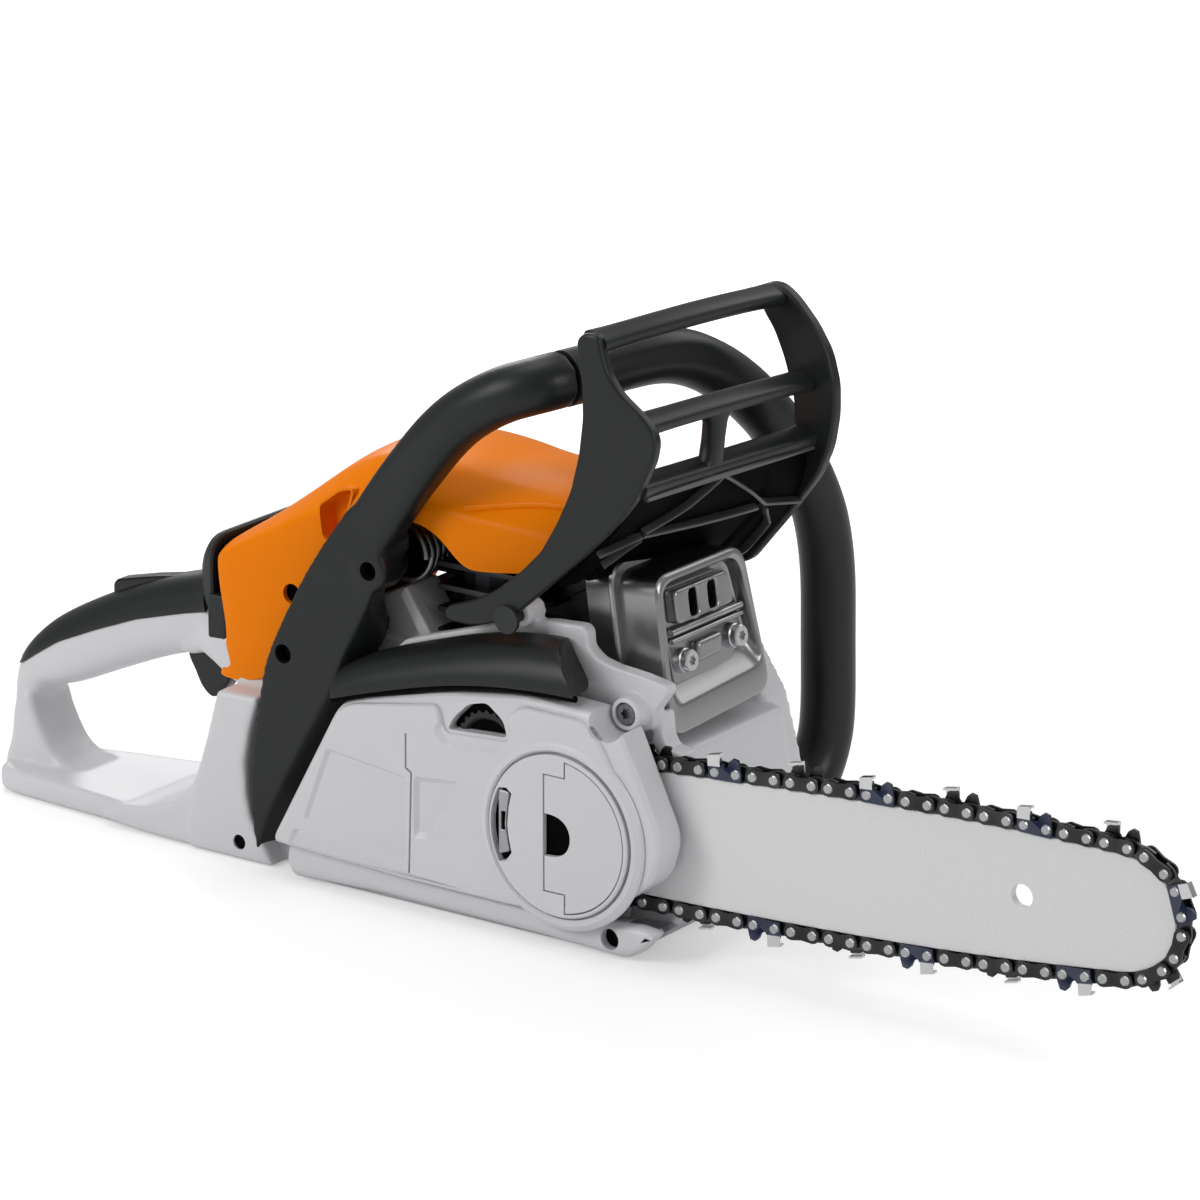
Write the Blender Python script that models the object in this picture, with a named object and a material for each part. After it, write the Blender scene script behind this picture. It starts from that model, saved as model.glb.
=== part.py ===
"""Petrol chainsaw with a 30 cm bar: housings, engine, chain drive, handles, brake guard and controls."""

import math

import bmesh
import bpy
import numpy as np
from mathutils import Matrix, Vector

# ---------------------------------------------------------------- driving dimensions (metres)
MM = 0.001
BODY_LENGTH = 366 * MM      # rearmost point of the rear handle to the front of the housing
BODY_WIDTH = 204 * MM       # clutch cover face to the left leg of the front handle
BODY_HEIGHT = 266 * MM      # ground to the top of the hand guard
BAR_REACH = 362.4 * MM      # crankshaft axis to the nose line of the chain rivets
BAR_TILT = math.radians(3.2)
CHAIN_PITCH = 9.32 * MM     # mean distance between neighbouring chain rivets
CHAIN_LINKS = 44
BAR_THICKNESS = 4.0 * MM
BORE = 38.0 * MM
STROKE = 28.0 * MM
DRUM_RADIUS = 29.0 * MM
TUBE_RADIUS = 12.0 * MM
WALL = 2.6 * MM             # plastic shell thickness

# ---------------------------------------------------------------- clearances (metres)
FIT = 0.30 * MM             # between pieces that touch
RUN = 0.50 * MM             # between pieces that turn or slide on each other

# ---------------------------------------------------------------- derived factors and planes
SX = BODY_LENGTH / (366 * MM)
SY = BODY_WIDTH / (204 * MM)
SZ = BODY_HEIGHT / (266 * MM)
S = min(SX, SY, SZ)


def X(value):
    """Length along the saw, from the crankshaft forward, in reference millimetres."""
    return value * MM * SX


def Y(value):
    """Distance to the left of the middle of the saw, in reference millimetres."""
    return value * MM * SY


def Z(value):
    """Height over the ground, in reference millimetres."""
    return value * MM * SZ


def R(value):
    """Radius or small size that keeps its proportion to the smallest overall factor."""
    return value * MM * S


CRANK = (X(0), Z(52))
BAR_Y = Y(-48)
GRIP_Y = Y(-22)
STUD = (X(78), Z(51.5))
GUARD_PIVOT = (X(45), Z(137))
TRIGGER_PIVOT = (X(-136), Z(80))
LOCK_PIVOT = (X(-146), Z(101))
SPRING_AXIS = (X(-30), Z(143))
FLAP_HINGE_X = X(72)


# ---------------------------------------------------------------- scene and mesh helpers
def clear_scene():
    for obj in list(bpy.data.objects):
        bpy.data.objects.remove(obj, do_unlink=True)


def material(name, colour, roughness, metallic=0.0):
    made = bpy.data.materials.get(name) or bpy.data.materials.new(name)
    made.use_nodes = True
    shader = made.node_tree.nodes["Principled BSDF"]
    shader.inputs["Base Color"].default_value = (*colour, 1.0)
    shader.inputs["Roughness"].default_value = roughness
    shader.inputs["Metallic"].default_value = metallic
    made.diffuse_color = (*colour, 1.0)
    return made


def orange():
    return material("orange_plastic", (0.91, 0.20, 0.01), 0.34)


def white():
    return material("white_plastic", (0.68, 0.68, 0.70), 0.38)


def black():
    return material("black_plastic", (0.03, 0.032, 0.034), 0.42)


def steel():
    return material("steel", (0.42, 0.43, 0.45), 0.35, 1.0)


def alloy():
    return material("cast_alloy", (0.55, 0.56, 0.58), 0.5, 1.0)


def rubber():
    return material("rubber", (0.02, 0.02, 0.02), 0.8)


def brass():
    return material("brass", (0.75, 0.55, 0.25), 0.35, 1.0)


def paint():
    return material("bar_paint", (0.72, 0.72, 0.74), 0.3)


def from_bmesh(name, mesh, look):
    bmesh.ops.recalc_face_normals(mesh, faces=mesh.faces)
    data = bpy.data.meshes.new(name)
    mesh.to_mesh(data)
    mesh.free()
    obj = bpy.data.objects.new(name, data)
    data.materials.append(look)
    bpy.context.scene.collection.objects.link(obj)
    return obj


def loft(name, rings, look, closed=False):
    """Solid through equal-sized rings of 3-D points; ends are capped unless the loop closes on itself."""
    mesh = bmesh.new()
    made = [[mesh.verts.new(point) for point in ring] for ring in rings]
    pairs = list(zip(made, made[1:]))
    if closed:
        pairs.append((made[-1], made[0]))
    for first, second in pairs:
        count = len(first)
        for i in range(count):
            j = (i + 1) % count
            mesh.faces.new((first[i], first[j], second[j], second[i]))
    if not closed:
        mesh.faces.new(made[0][::-1])
        mesh.faces.new(made[-1])
    return from_bmesh(name, mesh, look)


def prism_y(name, outline, y0, y1, look):
    """Solid of an (x, z) outline between two side planes."""
    return loft(name, [[(x, y, z) for x, z in outline] for y in (y0, y1)], look)


def prism_x(name, outline, x0, x1, look):
    return loft(name, [[(x, y, z) for y, z in outline] for x in (x0, x1)], look)


def prism_z(name, outline, z0, z1, look):
    return loft(name, [[(x, y, z) for x, y in outline] for z in (z0, z1)], look)


def box(name, x0, x1, y0, y1, z0, z1, look):
    return prism_z(name, [(x0, y0), (x1, y0), (x1, y1), (x0, y1)], z0, z1, look)


def circle(cx, cz, radius, count=24, start=0.0):
    return [
        (cx + radius * math.cos(start + 2 * math.pi * i / count),
         cz + radius * math.sin(start + 2 * math.pi * i / count))
        for i in range(count)
    ]


def turned_y(name, centre, profile, look, count=24):
    """Turned solid on a line along Y; the profile is a list of (y, radius)."""
    rings = [[(x, y, z) for x, z in circle(centre[0], centre[1], radius, count)] for y, radius in profile]
    return loft(name, rings, look)


def turned_z(name, centre, profile, look, count=24):
    rings = [[(x, y, z) for x, y in circle(centre[0], centre[1], radius, count)] for z, radius in profile]
    return loft(name, rings, look)


def turned_x(name, centre, profile, look, count=24):
    rings = [[(x, y, z) for y, z in circle(centre[0], centre[1], radius, count)] for x, radius in profile]
    return loft(name, rings, look)


def combine(obj, others, operation):
    """Adds or takes away other solids and removes them from the scene."""
    for other in others:
        modifier = obj.modifiers.new("shape", "BOOLEAN")
        modifier.operation = operation
        modifier.solver = "EXACT"
        modifier.object = other
        bpy.context.view_layer.update()
        graph = bpy.context.evaluated_depsgraph_get()
        mesh = bpy.data.meshes.new_from_object(obj.evaluated_get(graph))
        obj.modifiers.clear()
        obj.data = mesh
        bpy.data.objects.remove(other, do_unlink=True)
    return obj


def join(obj, *others):
    return combine(obj, others, "UNION")


def cut(obj, *others):
    return combine(obj, others, "DIFFERENCE")


def keep(obj, other):
    return combine(obj, [other], "INTERSECT")


def soften(obj, width, segments=2, angle=35):
    """Bevels the sharp edges of a simple solid."""
    modifier = obj.modifiers.new("soft", "BEVEL")
    modifier.width = width
    modifier.segments = segments
    modifier.limit_method = "ANGLE"
    modifier.angle_limit = math.radians(angle)
    bpy.context.view_layer.update()
    graph = bpy.context.evaluated_depsgraph_get()
    mesh = bpy.data.meshes.new_from_object(obj.evaluated_get(graph))
    obj.modifiers.clear()
    obj.data = mesh
    return obj


def set_origin(obj, point):
    """Puts the origin of a moving piece on its joint."""
    shift = Vector(point)
    obj.data.transform(Matrix.Translation(-shift))
    obj.location = shift
    return obj


def offset(outline, distance):
    """The outline moved outwards by a distance along its corner normals."""
    points = np.array(outline)
    area = 0.5 * np.sum(points[:, 0] * np.roll(points[:, 1], -1) - np.roll(points[:, 0], -1) * points[:, 1])
    turn = 1.0 if area > 0 else -1.0
    moved = []
    count = len(points)
    for i in range(count):
        before = points[i] - points[i - 1]
        after = points[(i + 1) % count] - points[i]
        before = before / np.linalg.norm(before)
        after = after / np.linalg.norm(after)
        n1 = np.array([before[1], -before[0]]) * turn
        n2 = np.array([after[1], -after[0]]) * turn
        middle = n1 + n2
        middle = middle / np.linalg.norm(middle)
        reach = distance / max(0.45, float(np.dot(middle, n1)))
        moved.append(tuple(points[i] + middle * reach))
    return moved


def smooth_path(points, steps):
    """Catmull-Rom curve through the points."""
    path = [np.array(point, float) for point in points]
    ends = [2 * path[0] - path[1]] + path + [2 * path[-1] - path[-2]]
    made = []
    for i in range(1, len(ends) - 2):
        p0, p1, p2, p3 = ends[i - 1:i + 3]
        for step in range(steps):
            t = step / steps
            made.append(0.5 * (2 * p1 + (p2 - p0) * t + (2 * p0 - 5 * p1 + 4 * p2 - p3) * t * t
                               + (3 * p1 - p0 - 3 * p2 + p3) * t ** 3))
    made.append(path[-1])
    return made


def tube(name, points, radii, look, count=16, side=(0, 1, 0)):
    """Solid swept along a path; radii are (across, up) pairs for each path point or one number."""
    path = [Vector(point) for point in points]
    rings = []
    across = Vector(side).normalized()
    for i, point in enumerate(path):
        ahead = path[min(i + 1, len(path) - 1)] - path[max(i - 1, 0)]
        ahead.normalize()
        across = (across - ahead * across.dot(ahead)).normalized()
        up = ahead.cross(across)
        wide, tall = radii[i] if isinstance(radii, list) else (radii, radii)
        rings.append([
            point + across * wide * math.cos(2 * math.pi * k / count) + up * tall * math.sin(2 * math.pi * k / count)
            for k in range(count)
        ])
    return loft(name, rings, look)


def pts(values):
    """Reference (x, z) millimetres to metres."""
    return [(X(x), Z(z)) for x, z in values]


# ---------------------------------------------------------------- lower housing
LOWER_OUTLINE = [(-74, 0), (103, 0), (120, 17), (131, 28), (128, 36), (118, 52), (112, 84), (66, 88),
                 (50, 88), (50, 80), (-56, 80), (-64, 62)]
LIP_OUTLINE = [(-70, 0), (94, 0), (98, 3), (98, 12.5), (-66, 12.5)]


def engine_housing():
    body = prism_y("engine_housing", pts(LOWER_OUTLINE), Y(-43), Y(44), white())
    lip = prism_y("lip", pts(LIP_OUTLINE), Y(-60), Y(-42), white())
    left = prism_y("left", pts([(70, 0), (103, 0), (116, 22), (113, 53), (104, 86), (88, 110), (80, 110),
                                (72, 92)]), Y(40), Y(58), white())
    pad = prism_y("pad", pts([(54, 36), (104, 38), (104, 66), (54, 66)]), BAR_Y + BAR_THICKNESS / 2 + FIT, Y(-42),
                  white())
    join(body, lip, left, pad)
    bay = box("bay", X(-46), X(49), Y(-39), Y(46), Z(6), Z(90), white())
    rear = box("rear", X(-62), X(-49), Y(-38), Y(46), Z(6), Z(72), white())
    tank = box("tank", X(60), X(98), Y(-38), Y(50), Z(8), Z(78), white())
    filler = turned_y("filler", (X(86), Z(60)), [(Y(48), R(12)), (Y(60), R(12))], white(), 24)
    shaft = turned_y("shaft", CRANK, [(Y(-45), R(19)), (Y(-36), R(19))], white())
    hole = turned_y("hole", (X(90), Z(6.5)), [(Y(-62), R(3)), (Y(-56), R(3))], white(), 16)
    stud = turned_y("stud", STUD, [(Y(-50), R(4) + FIT), (Y(-36), R(4) + FIT)], white(), 24)
    return cut(body, bay, rear, tank, filler, shaft, hole, stud)


def chain_catcher():
    outline = pts([(98.5, 3), (106, 3), (118, 12), (116, 13), (104, 11.5), (98.5, 11.5)])
    return prism_y("chain_catcher", outline, Y(-57), Y(-43) - FIT, alloy())


def cap(name, x, z, y):
    """Tank cap with a plug inside the filler and a raised tab."""
    body = turned_y(name, (x, z), [(y - Y(8), R(10.5)), (y + FIT, R(10.5)), (y + FIT, R(16)), (y + Y(4), R(16)),
                                   (y + Y(5), R(15))], black(), 28)
    tab = box("tab", x - R(11), x + R(11), y + Y(4.5), y + Y(9), z - R(2.2), z + R(2.2), black())
    return set_origin(join(body, tab), (x, y, z))


# ---------------------------------------------------------------- rear handle and tank
COLUMN_OUTLINE = [(-130, 0), (-80, 0), (-80, 20), (-80, 74), (-100, 77.5), (-113, 75), (-119, 56), (-125, 38),
                  (-131, 26)]
PARTING = [(-262, 50), (-243, 58), (-237, 62), (-221, 72), (-198, 82), (-175, 91), (-147, 99), (-128, 103)]
GRIP_PATH = [(-240, 6), (-244, 22), (-246, 38), (-240, 54), (-224, 64.5), (-198, 77.5), (-168, 90), (-134, 100)]
GRIP_SIZES = [(19, 13), (13, 8.5), (12, 7.5), (14, 11), (16, 15.5), (17, 17), (17, 17.5), (18, 18)]


def grip_solid(name, look, shrink=0.0):
    """The full grip from the base up to the collar."""
    path = smooth_path([(X(x), GRIP_Y, Z(z)) for x, z in GRIP_PATH], 4)
    sizes = smooth_path([(w * MM * SY, h * MM * SZ) for w, h in GRIP_SIZES], 4)
    return tube(name, path, [(float(w) - shrink, float(h) - shrink) for w, h in sizes], look, 20)


def above_parting(name, gap):
    line = [(x, z + gap / MM) for x, z in PARTING]
    return prism_y(name, pts(line + [(-118, 103 + gap / MM), (-118, 160), (-275, 160)]), Y(-60), Y(20), black())


def base_rings():
    rings = []
    for z, inset in ((0, 1.5), (2, 0), (9, 0), (13, 5)):
        rings.append([
            (X(-253 + inset), Y(-40), Z(z)), (X(-249 + inset), Y(-47 + inset), Z(z)),
            (X(-240), Y(-50 + inset), Z(z)), (X(-180), Y(-54 + inset), Z(z)), (X(-140), Y(-58 + inset), Z(z)),
            (X(-110), Y(-60 + inset), Z(z)), (X(-110), Y(30 - inset), Z(z)), (X(-170), Y(14 - inset), Z(z)),
            (X(-240), Y(-2 - inset), Z(z)), (X(-250 + inset), Y(-8), Z(z)), (X(-254 + inset), Y(-22), Z(z)),
        ])
    return rings


def rear_handle():
    base = loft("rear_handle", base_rings(), white())
    column = prism_y("column", pts(COLUMN_OUTLINE), Y(-58), Y(52), white())
    neck = prism_y("neck", pts([(-138, 80), (-128, 76), (-112, 72), (-100, 80), (-98, 98), (-127, 100),
                                (-138, 99)]), Y(-39), Y(-5), white())
    grip = grip_solid("grip", white())
    join(base, column, neck, grip)
    tank = box("tank", X(-112), X(-86), Y(-44), Y(48), Z(7), Z(68), white())
    filler = turned_y("filler", (X(-99), Z(40)), [(Y(46), R(12)), (Y(54), R(12))], white(), 24)
    hole = turned_y("hole", (X(-105), Z(10)), [(Y(-61), R(3.2)), (Y(-56), R(3.2))], white(), 16)
    arm = prism_y("armcut", offset(pts(ARM_OUTLINE), FIT), Y(-61), Y(-46) + FIT, black())
    slot = box("slot", X(-172), X(-124), GRIP_Y - Y(5), GRIP_Y + Y(5), Z(40), Z(92), white())
    lock = box("lock", X(-207), X(-139.5), GRIP_Y - Y(5), GRIP_Y + Y(5), Z(77), Z(120), white())
    rod = box("rod", X(-131), X(-96), Y(-25.5), Y(-20.5), Z(82), Z(103), white())
    return cut(base, above_parting("upper", -FIT / 2), tank, filler, hole, arm, slot, lock, rod)


def handle_moulding():
    """Upper half of the grip with the collar behind the top cover."""
    upper = keep(grip_solid("handle_moulding", black()), above_parting("keep", FIT / 2))
    rings = []
    for x, w, z0, z1, r in ((-137, 38, 104.5, 130, 12), (-134, 41, 104.5, 135, 14), (-126, 43, 104.5, 137, 14)):
        y0 = Y(-w)
        y1 = Y(w)
        ring = [(X(x), y0, Z(z0)), (X(x), y0, Z(z1 - r)), (X(x), y0 + Y(0.3 * r), Z(z1 - 0.3 * r)),
                (X(x), y0 + Y(r), Z(z1)), (X(x), y1 - Y(r), Z(z1)), (X(x), y1 - Y(0.3 * r), Z(z1 - 0.3 * r)),
                (X(x), y1, Z(z1 - r)), (X(x), y1, Z(z0))]
        rings.append(ring)
    collar = loft("collar", rings, black())
    join(upper, collar)
    lock = prism_y("lock", pts([(-206, 70), (-206, 130), (-140, 130), (-140, 92), (-160, 84), (-190, 76)]),
                   GRIP_Y - Y(5), GRIP_Y + Y(5), black())
    slot = box("slot", X(-150), X(-139.5), GRIP_Y - Y(5), GRIP_Y + Y(5), Z(60), Z(104), black())
    return cut(upper, lock, slot)


def trigger():
    outline = pts([(-140, 84), (-132, 84), (-131, 76), (-136, 68), (-137, 60), (-143, 55), (-150, 60), (-156, 70),
                   (-159, 77)])
    body = prism_y("throttle_trigger", outline, GRIP_Y - Y(4.2), GRIP_Y + Y(4.2), black())
    return set_origin(body, (TRIGGER_PIVOT[0], GRIP_Y, TRIGGER_PIVOT[1]))


def interlock():
    outline = pts([(-203, 86), (-203.5, 93), (-190, 103), (-170, 108), (-150, 111), (-143, 110), (-142, 98),
                   (-150, 95), (-165, 96), (-185, 91)])
    body = prism_y("throttle_interlock", outline, GRIP_Y - Y(4.2), GRIP_Y + Y(4.2), black())
    return set_origin(body, (LOCK_PIVOT[0], GRIP_Y, LOCK_PIVOT[1]))


# ---------------------------------------------------------------- arm, tube and spring
ARM_OUTLINE = [(-93, 7), (-96, 29), (-94, 48), (-90, 77), (-83, 95), (-69, 124), (-44, 162), (-29, 177), (-2, 208),
               (14, 222), (24, 214), (6, 181), (0, 167), (-6, 153), (-16, 138), (-29, 114), (-45, 84), (-68, 48),
               (-82, 23), (-89, 12)]
ELBOW = [(2, -53, 200), (22, -53, 220), (36, -52, 229), (45, -48.5, 233), (50.4, -43, 234.6)]
TUBE_JOINT = (53, -34, 235)
TUBE_COURSE = (0.26, 0.96, 0.03)
RUN_PATH = [(63, 3, 236), (75, 50, 236), (84, 84, 233), (89, 106, 220), (88, 116, 196),
            (86, 118, 150), (85, 118, 90), (85, 116, 52), (85, 109, 32), (85, 92, 22), (85, 76, 20),
            (85, 62, 20)]


def joint_point(distance):
    """Point on the tube's line, some millimetres past the joint of arm and tube."""
    return Vector((X(TUBE_JOINT[0]), Y(TUBE_JOINT[1]), Z(TUBE_JOINT[2]))) + Vector(TUBE_COURSE) * distance * MM


def handle_arm():
    body = prism_y("handle_arm", pts(ARM_OUTLINE), Y(-60), Y(-46), black())
    path = smooth_path([(X(x), Y(y), Z(z)) for x, y, z in ELBOW], 3)
    elbow = tube("elbow", path + [joint_point(-1.5), joint_point(-FIT / MM)], TUBE_RADIUS, black())
    boss = turned_y("boss", SPRING_AXIS, [(Y(-50), R(11)), (Y(-44), R(11)), (Y(-44), R(6)), (Y(-30), R(6))],
                    black(), 24)
    join(body, elbow, boss)
    first = turned_y("first", (X(-76), Z(99)), [(Y(-62), R(4.5)), (Y(-55), R(4.5))], black(), 16)
    second = turned_y("second", SPRING_AXIS, [(Y(-62), R(4)), (Y(-54), R(4))], black(), 16)
    return cut(body, first, second)


def front_handle():
    path = smooth_path([(X(x), Y(y), Z(z)) for x, y, z in RUN_PATH], 3)
    return tube("front_handle", [joint_point(0), joint_point(1.5), joint_point(14)] + path, TUBE_RADIUS, black(), 16)


def foot_buffer():
    """Rubber seat between the foot of the tube and the front housing."""
    return turned_y("handle_foot_buffer", (X(85), Z(20)), [(Y(58) + FIT, R(10)), (Y(62) - FIT, R(10))], rubber(), 24)


def coil(name, centre, y0, y1, radius, wire, turns, look):
    """Coil spring on a line along Y."""
    count = turns * 10
    path = []
    for i in range(count + 1):
        angle = 2 * math.pi * turns * i / count
        path.append((centre[0] + radius * math.cos(angle), y0 + (y1 - y0) * i / count,
                     centre[1] + radius * math.sin(angle)))
    return tube(name, path, wire, look, 6, side=(1, 0, 0))


def av_spring():
    wire = R(1.5)
    return coil("front_av_spring", SPRING_AXIS, Y(-44) + wire + FIT, Y(-15.5) - wire - FIT, R(9.5), wire, 6, steel())


def spring_bracket():
    """Ribbed bracket on the housing that carries the inner end of the spring."""
    plate = prism_y("spring_bracket", pts([(-54, 80.4), (-43, 80.4), (-43, 122), (-17, 126), (-17, 156),
                                           (-42, 156), (-49, 120)]), Y(-15.5), Y(-11.5), white())
    rib = prism_y("rib", pts([(-54, 80.4), (-46, 80.4), (-45, 118), (-49, 118)]), Y(-34), Y(-12), white())
    barrel = turned_z("clear", (X(0), Y(1)), [(Z(70), R(25.6)), (Z(170), R(25.6))], white(), 24)
    return cut(join(plate, rib), barrel)


# ---------------------------------------------------------------- top cover
COVER_SECTIONS = [(-124, 43, 135, 12), (-104, 44, 149, 14), (-82, 44.5, 163, 17), (-62, 44.5, 177, 20),
                  (-44, 44, 188, 22), (-12, 43.5, 195, 22), (26, 42, 193, 22), (56, 39, 187, 20)]


def cover_loft(name, inset, low):
    rings = []
    last = len(COVER_SECTIONS) - 1
    for i, (x, w, top, r) in enumerate(COVER_SECTIONS):
        at = X(x) + (inset if i == 0 else -inset if i == last else 0.0)
        y0 = Y(-w) + inset
        y1 = Y(w) - inset
        high = Z(top) - inset
        ring = [(at, y0, low), (at, y0, high - Z(r))]
        for k in (1, 2):
            angle = math.pi / 2 * k / 3
            ring.append((at, y0 + Y(r) * (1 - math.cos(angle)), high - Z(r) * (1 - math.sin(angle))))
        ring.append((at, y0 + Y(r), high))
        ring.append((at, y1 - Y(r), high))
        for k in (2, 1):
            angle = math.pi / 2 * k / 3
            ring.append((at, y1 - Y(r) * (1 - math.cos(angle)), high - Z(r) * (1 - math.sin(angle))))
        ring.append((at, y1, high - Z(r)))
        ring.append((at, y1, low))
        rings.append(ring)
    return loft(name, rings, orange())


def top_cover():
    outer = cover_loft("top_cover", 0.0, Z(60))
    inner = cover_loft("inner", WALL, Z(40))
    cut(outer, inner)
    below = prism_y("below", pts([(-140, 30), (-140, 76), (-113, 76), (-104, 78), (-96, 80), (-84, 96), (-60, 132),
                                  (-46, 156), (-26, 166), (-8, 162), (3, 154), (8, 147.5), (36, 149), (62, 153), (62, 30)]),
                    Y(-80), Y(80), orange())
    neck = box("neck", X(-140), X(-110), Y(-40.5), Y(-3), Z(60), Z(104), orange())
    hole = turned_y("hole", (X(-85), Z(118)), [(Y(-60), R(5)), (Y(-30), R(5))], orange(), 16)
    return cut(outer, below, neck, hole)


# ---------------------------------------------------------------- clutch side
COVER_OUTLINE = [(-78, 16), (-40, 85), (-32, 90), (18, 102), (59, 108), (100, 106), (106, 104), (112, 90),
                 (128, 56), (123, 38), (100, 22), (78, 15), (51, 14.5), (-4, 15), (-65, 17)]


def clutch_cover():
    body = prism_y("clutch_cover", pts(COVER_OUTLINE), Y(-72), Y(-52.4), white())
    soften(body, R(2.0), 2, 20)
    inner = prism_y("inner", offset(pts(COVER_OUTLINE), -WALL), Y(-72) + WALL, Y(-50), white())
    disc = turned_y("disc", STUD, [(Y(-80), R(36) + FIT), (Y(-69), R(36) + FIT)], white(), 40)
    cut(body, inner)
    seat = turned_y("seat", STUD, [(Y(-69.2), R(37)), (Y(-66.6), R(37)), (Y(-66.6), R(12)),
                                   (BAR_Y - BAR_THICKNESS / 2 - FIT, R(12))], white(), 24)
    seat = keep(seat, prism_y("limit", offset(pts(COVER_OUTLINE), -0.3 * MM), Y(-90), Y(-30), white()))
    join(body, seat)
    bore = turned_y("bore", STUD, [(Y(-90), R(5.5)), (Y(-40), R(5.5))], white(), 24)
    wheel = prism_y("wheel", pts([(21, 87), (52, 88), (50, 100.6), (24, 98.6)]), Y(-80), Y(-66), white())
    boss = turned_y("boss", (X(101), Z(104)), [(Y(-80), R(6.5)), (Y(-40), R(6.5))], white(), 24)
    return cut(body, disc, bore, wheel, boss)


def wing_disc():
    """Round clamping nut, level with the cover, with a recess for the folded wing."""
    y0 = Y(-74)
    body = turned_y("wing_nut_disc", STUD, [(y0, R(34.5)), (y0 + Y(1), R(35.5)), (Y(-69.2) - FIT, R(35.5))], white(), 40)
    nose = turned_y("nose", STUD, [(Y(-69.6), R(5)), (Y(-57), R(5))], white(), 24)
    join(body, nose)
    bore = turned_y("bore", STUD, [(Y(-66), R(3.3)), (Y(-50), R(3.3))], white(), 24)
    recess = prism_y("recess", half_disc(R(32), FLAP_HINGE_X - R(1)), y0 - Y(3), y0 + Y(2.9), white())
    return set_origin(cut(body, recess, bore), (STUD[0], y0, STUD[1]))


def half_disc(radius, x_from):
    """Front part of the disc, right of a vertical line."""
    reach = math.acos(max(-1.0, min(1.0, (x_from - STUD[0]) / radius)))
    return [
        (STUD[0] + radius * math.cos(reach * (1 - 2 * i / 24)), STUD[1] + radius * math.sin(reach * (1 - 2 * i / 24)))
        for i in range(25)
    ]


def wing_flap():
    y0 = Y(-74)
    outline = half_disc(R(32) - RUN, FLAP_HINGE_X - R(1) + RUN)
    body = prism_y("wing_nut_flap", outline, y0 + Y(0.2), y0 + Y(2.4) - FIT, white())
    hole = prism_y("hole", circle(FLAP_HINGE_X + R(12), STUD[1], R(9), 20), y0 - Y(2), y0 + Y(4), black())
    return set_origin(cut(body, hole), (FLAP_HINGE_X - R(1) + RUN + R(0.9), y0 + Y(1.15), STUD[1]))


def bar_stud():
    return turned_y("bar_stud", STUD, [(Y(-66), R(3)), (Y(-37), R(3)), (Y(-37), R(4)), (Y(-36), R(4))], steel(), 20)


def adjuster():
    """Toothed wheel that moves the bar, in its window of the cover."""
    centre = (X(37), Z(81))
    teeth = []
    for i in range(48):
        radius = R(15.8) if i % 2 else R(14.6)
        angle = 2 * math.pi * i / 48
        teeth.append((centre[0] + radius * math.cos(angle), centre[1] + radius * math.sin(angle)))
    body = prism_y("chain_adjuster", teeth, Y(-66.6) + FIT, Y(-61), black())
    return set_origin(body, (centre[0], Y(-66), centre[1]))


def adjuster_shaft():
    """Spindle and pinion behind the adjuster wheel."""
    centre = (X(37), Z(81))
    return turned_y("adjuster_spindle", centre, [(Y(-61) + FIT, R(5)), (Y(-56), R(5)), (Y(-56), R(3)),
                                                 (BAR_Y - BAR_THICKNESS / 2 - R(3.5), R(3))], steel(), 20)


def brake_shell():
    """Rounded housing of the chain brake over the clutch cover."""
    xs = (-37, -22, 12, 38, 60, 74, 84, 92)
    low = (88.6, 93, 101.2, 105.6, 109, 108.6, 108, 107.6)
    top = (91, 99, 118, 126, 128.5, 125, 119.5, 112)
    outer = []
    inner = []
    for x, z0, z1 in zip(xs, low, top):
        h = z1 - z0
        outer.append([(X(x), Y(-72), Z(z0)), (X(x), Y(-71), Z(z0 + 0.45 * h)), (X(x), Y(-66), Z(z0 + 0.82 * h)),
                      (X(x), Y(-58), Z(z1)), (X(x), Y(-50), Z(z1)), (X(x), Y(-50), Z(z0))])
    for i, (x, z0, z1) in enumerate(zip(xs, low, top)):
        h = (z1 - z0) * 0.8
        inner.append([(X(x), Y(-69.4), Z(z0) - Z(1)), (X(x), Y(-68.6), Z(z0 + 0.42 * h)),
                      (X(x), Y(-64), Z(z0 + 0.76 * h)), (X(x), Y(-57.4), Z(z0 + 0.92 * h)),
                      (X(x), Y(-52.6), Z(z0 + 0.92 * h)), (X(x), Y(-52.6), Z(z0) - Z(1))])
    body = loft("brake_housing", outer, black())
    hollow = loft("hollow", inner[1:-1], black())
    return cut(body, hollow)


def front_bracket():
    """Cast bracket between the brake housing, the muffler and the front of the saw."""
    foot = prism_y("front_bracket", pts([(52, 88.5), (66, 88.5), (108, 85), (110, 96), (98, 110), (60, 112)]),
                   Y(-43), Y(-37), white())
    upper = prism_y("upper", pts([(58, 93), (97, 93), (107, 94), (114, 103), (123, 118), (112, 120), (98, 116),
                                  (86, 122), (74, 136), (66, 138), (50, 143), (40, 142), (40, 129), (54, 128)]),
                    Y(-49) + FIT, Y(-41), white())
    boss = turned_y("boss", (X(101), Z(104)), [(Y(-56), R(6)), (Y(-46), R(6))], white(), 24)
    lug = turned_y("lug", GUARD_PIVOT, [(Y(-55), R(5.5)), (Y(-43), R(5.5))], white(), 24)
    join(foot, upper, boss, lug)
    bore = turned_y("bore", GUARD_PIVOT, [(Y(-60), R(3) + FIT), (Y(-36), R(3) + FIT)], white(), 20)
    return cut(foot, bore)


def pivot_pin(name, y0, y1):
    return turned_y(name, GUARD_PIVOT, [(y0, R(6)), (y0 + Y(2), R(6)), (y0 + Y(2), R(3)), (y1, R(3))], steel(), 20)


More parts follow.
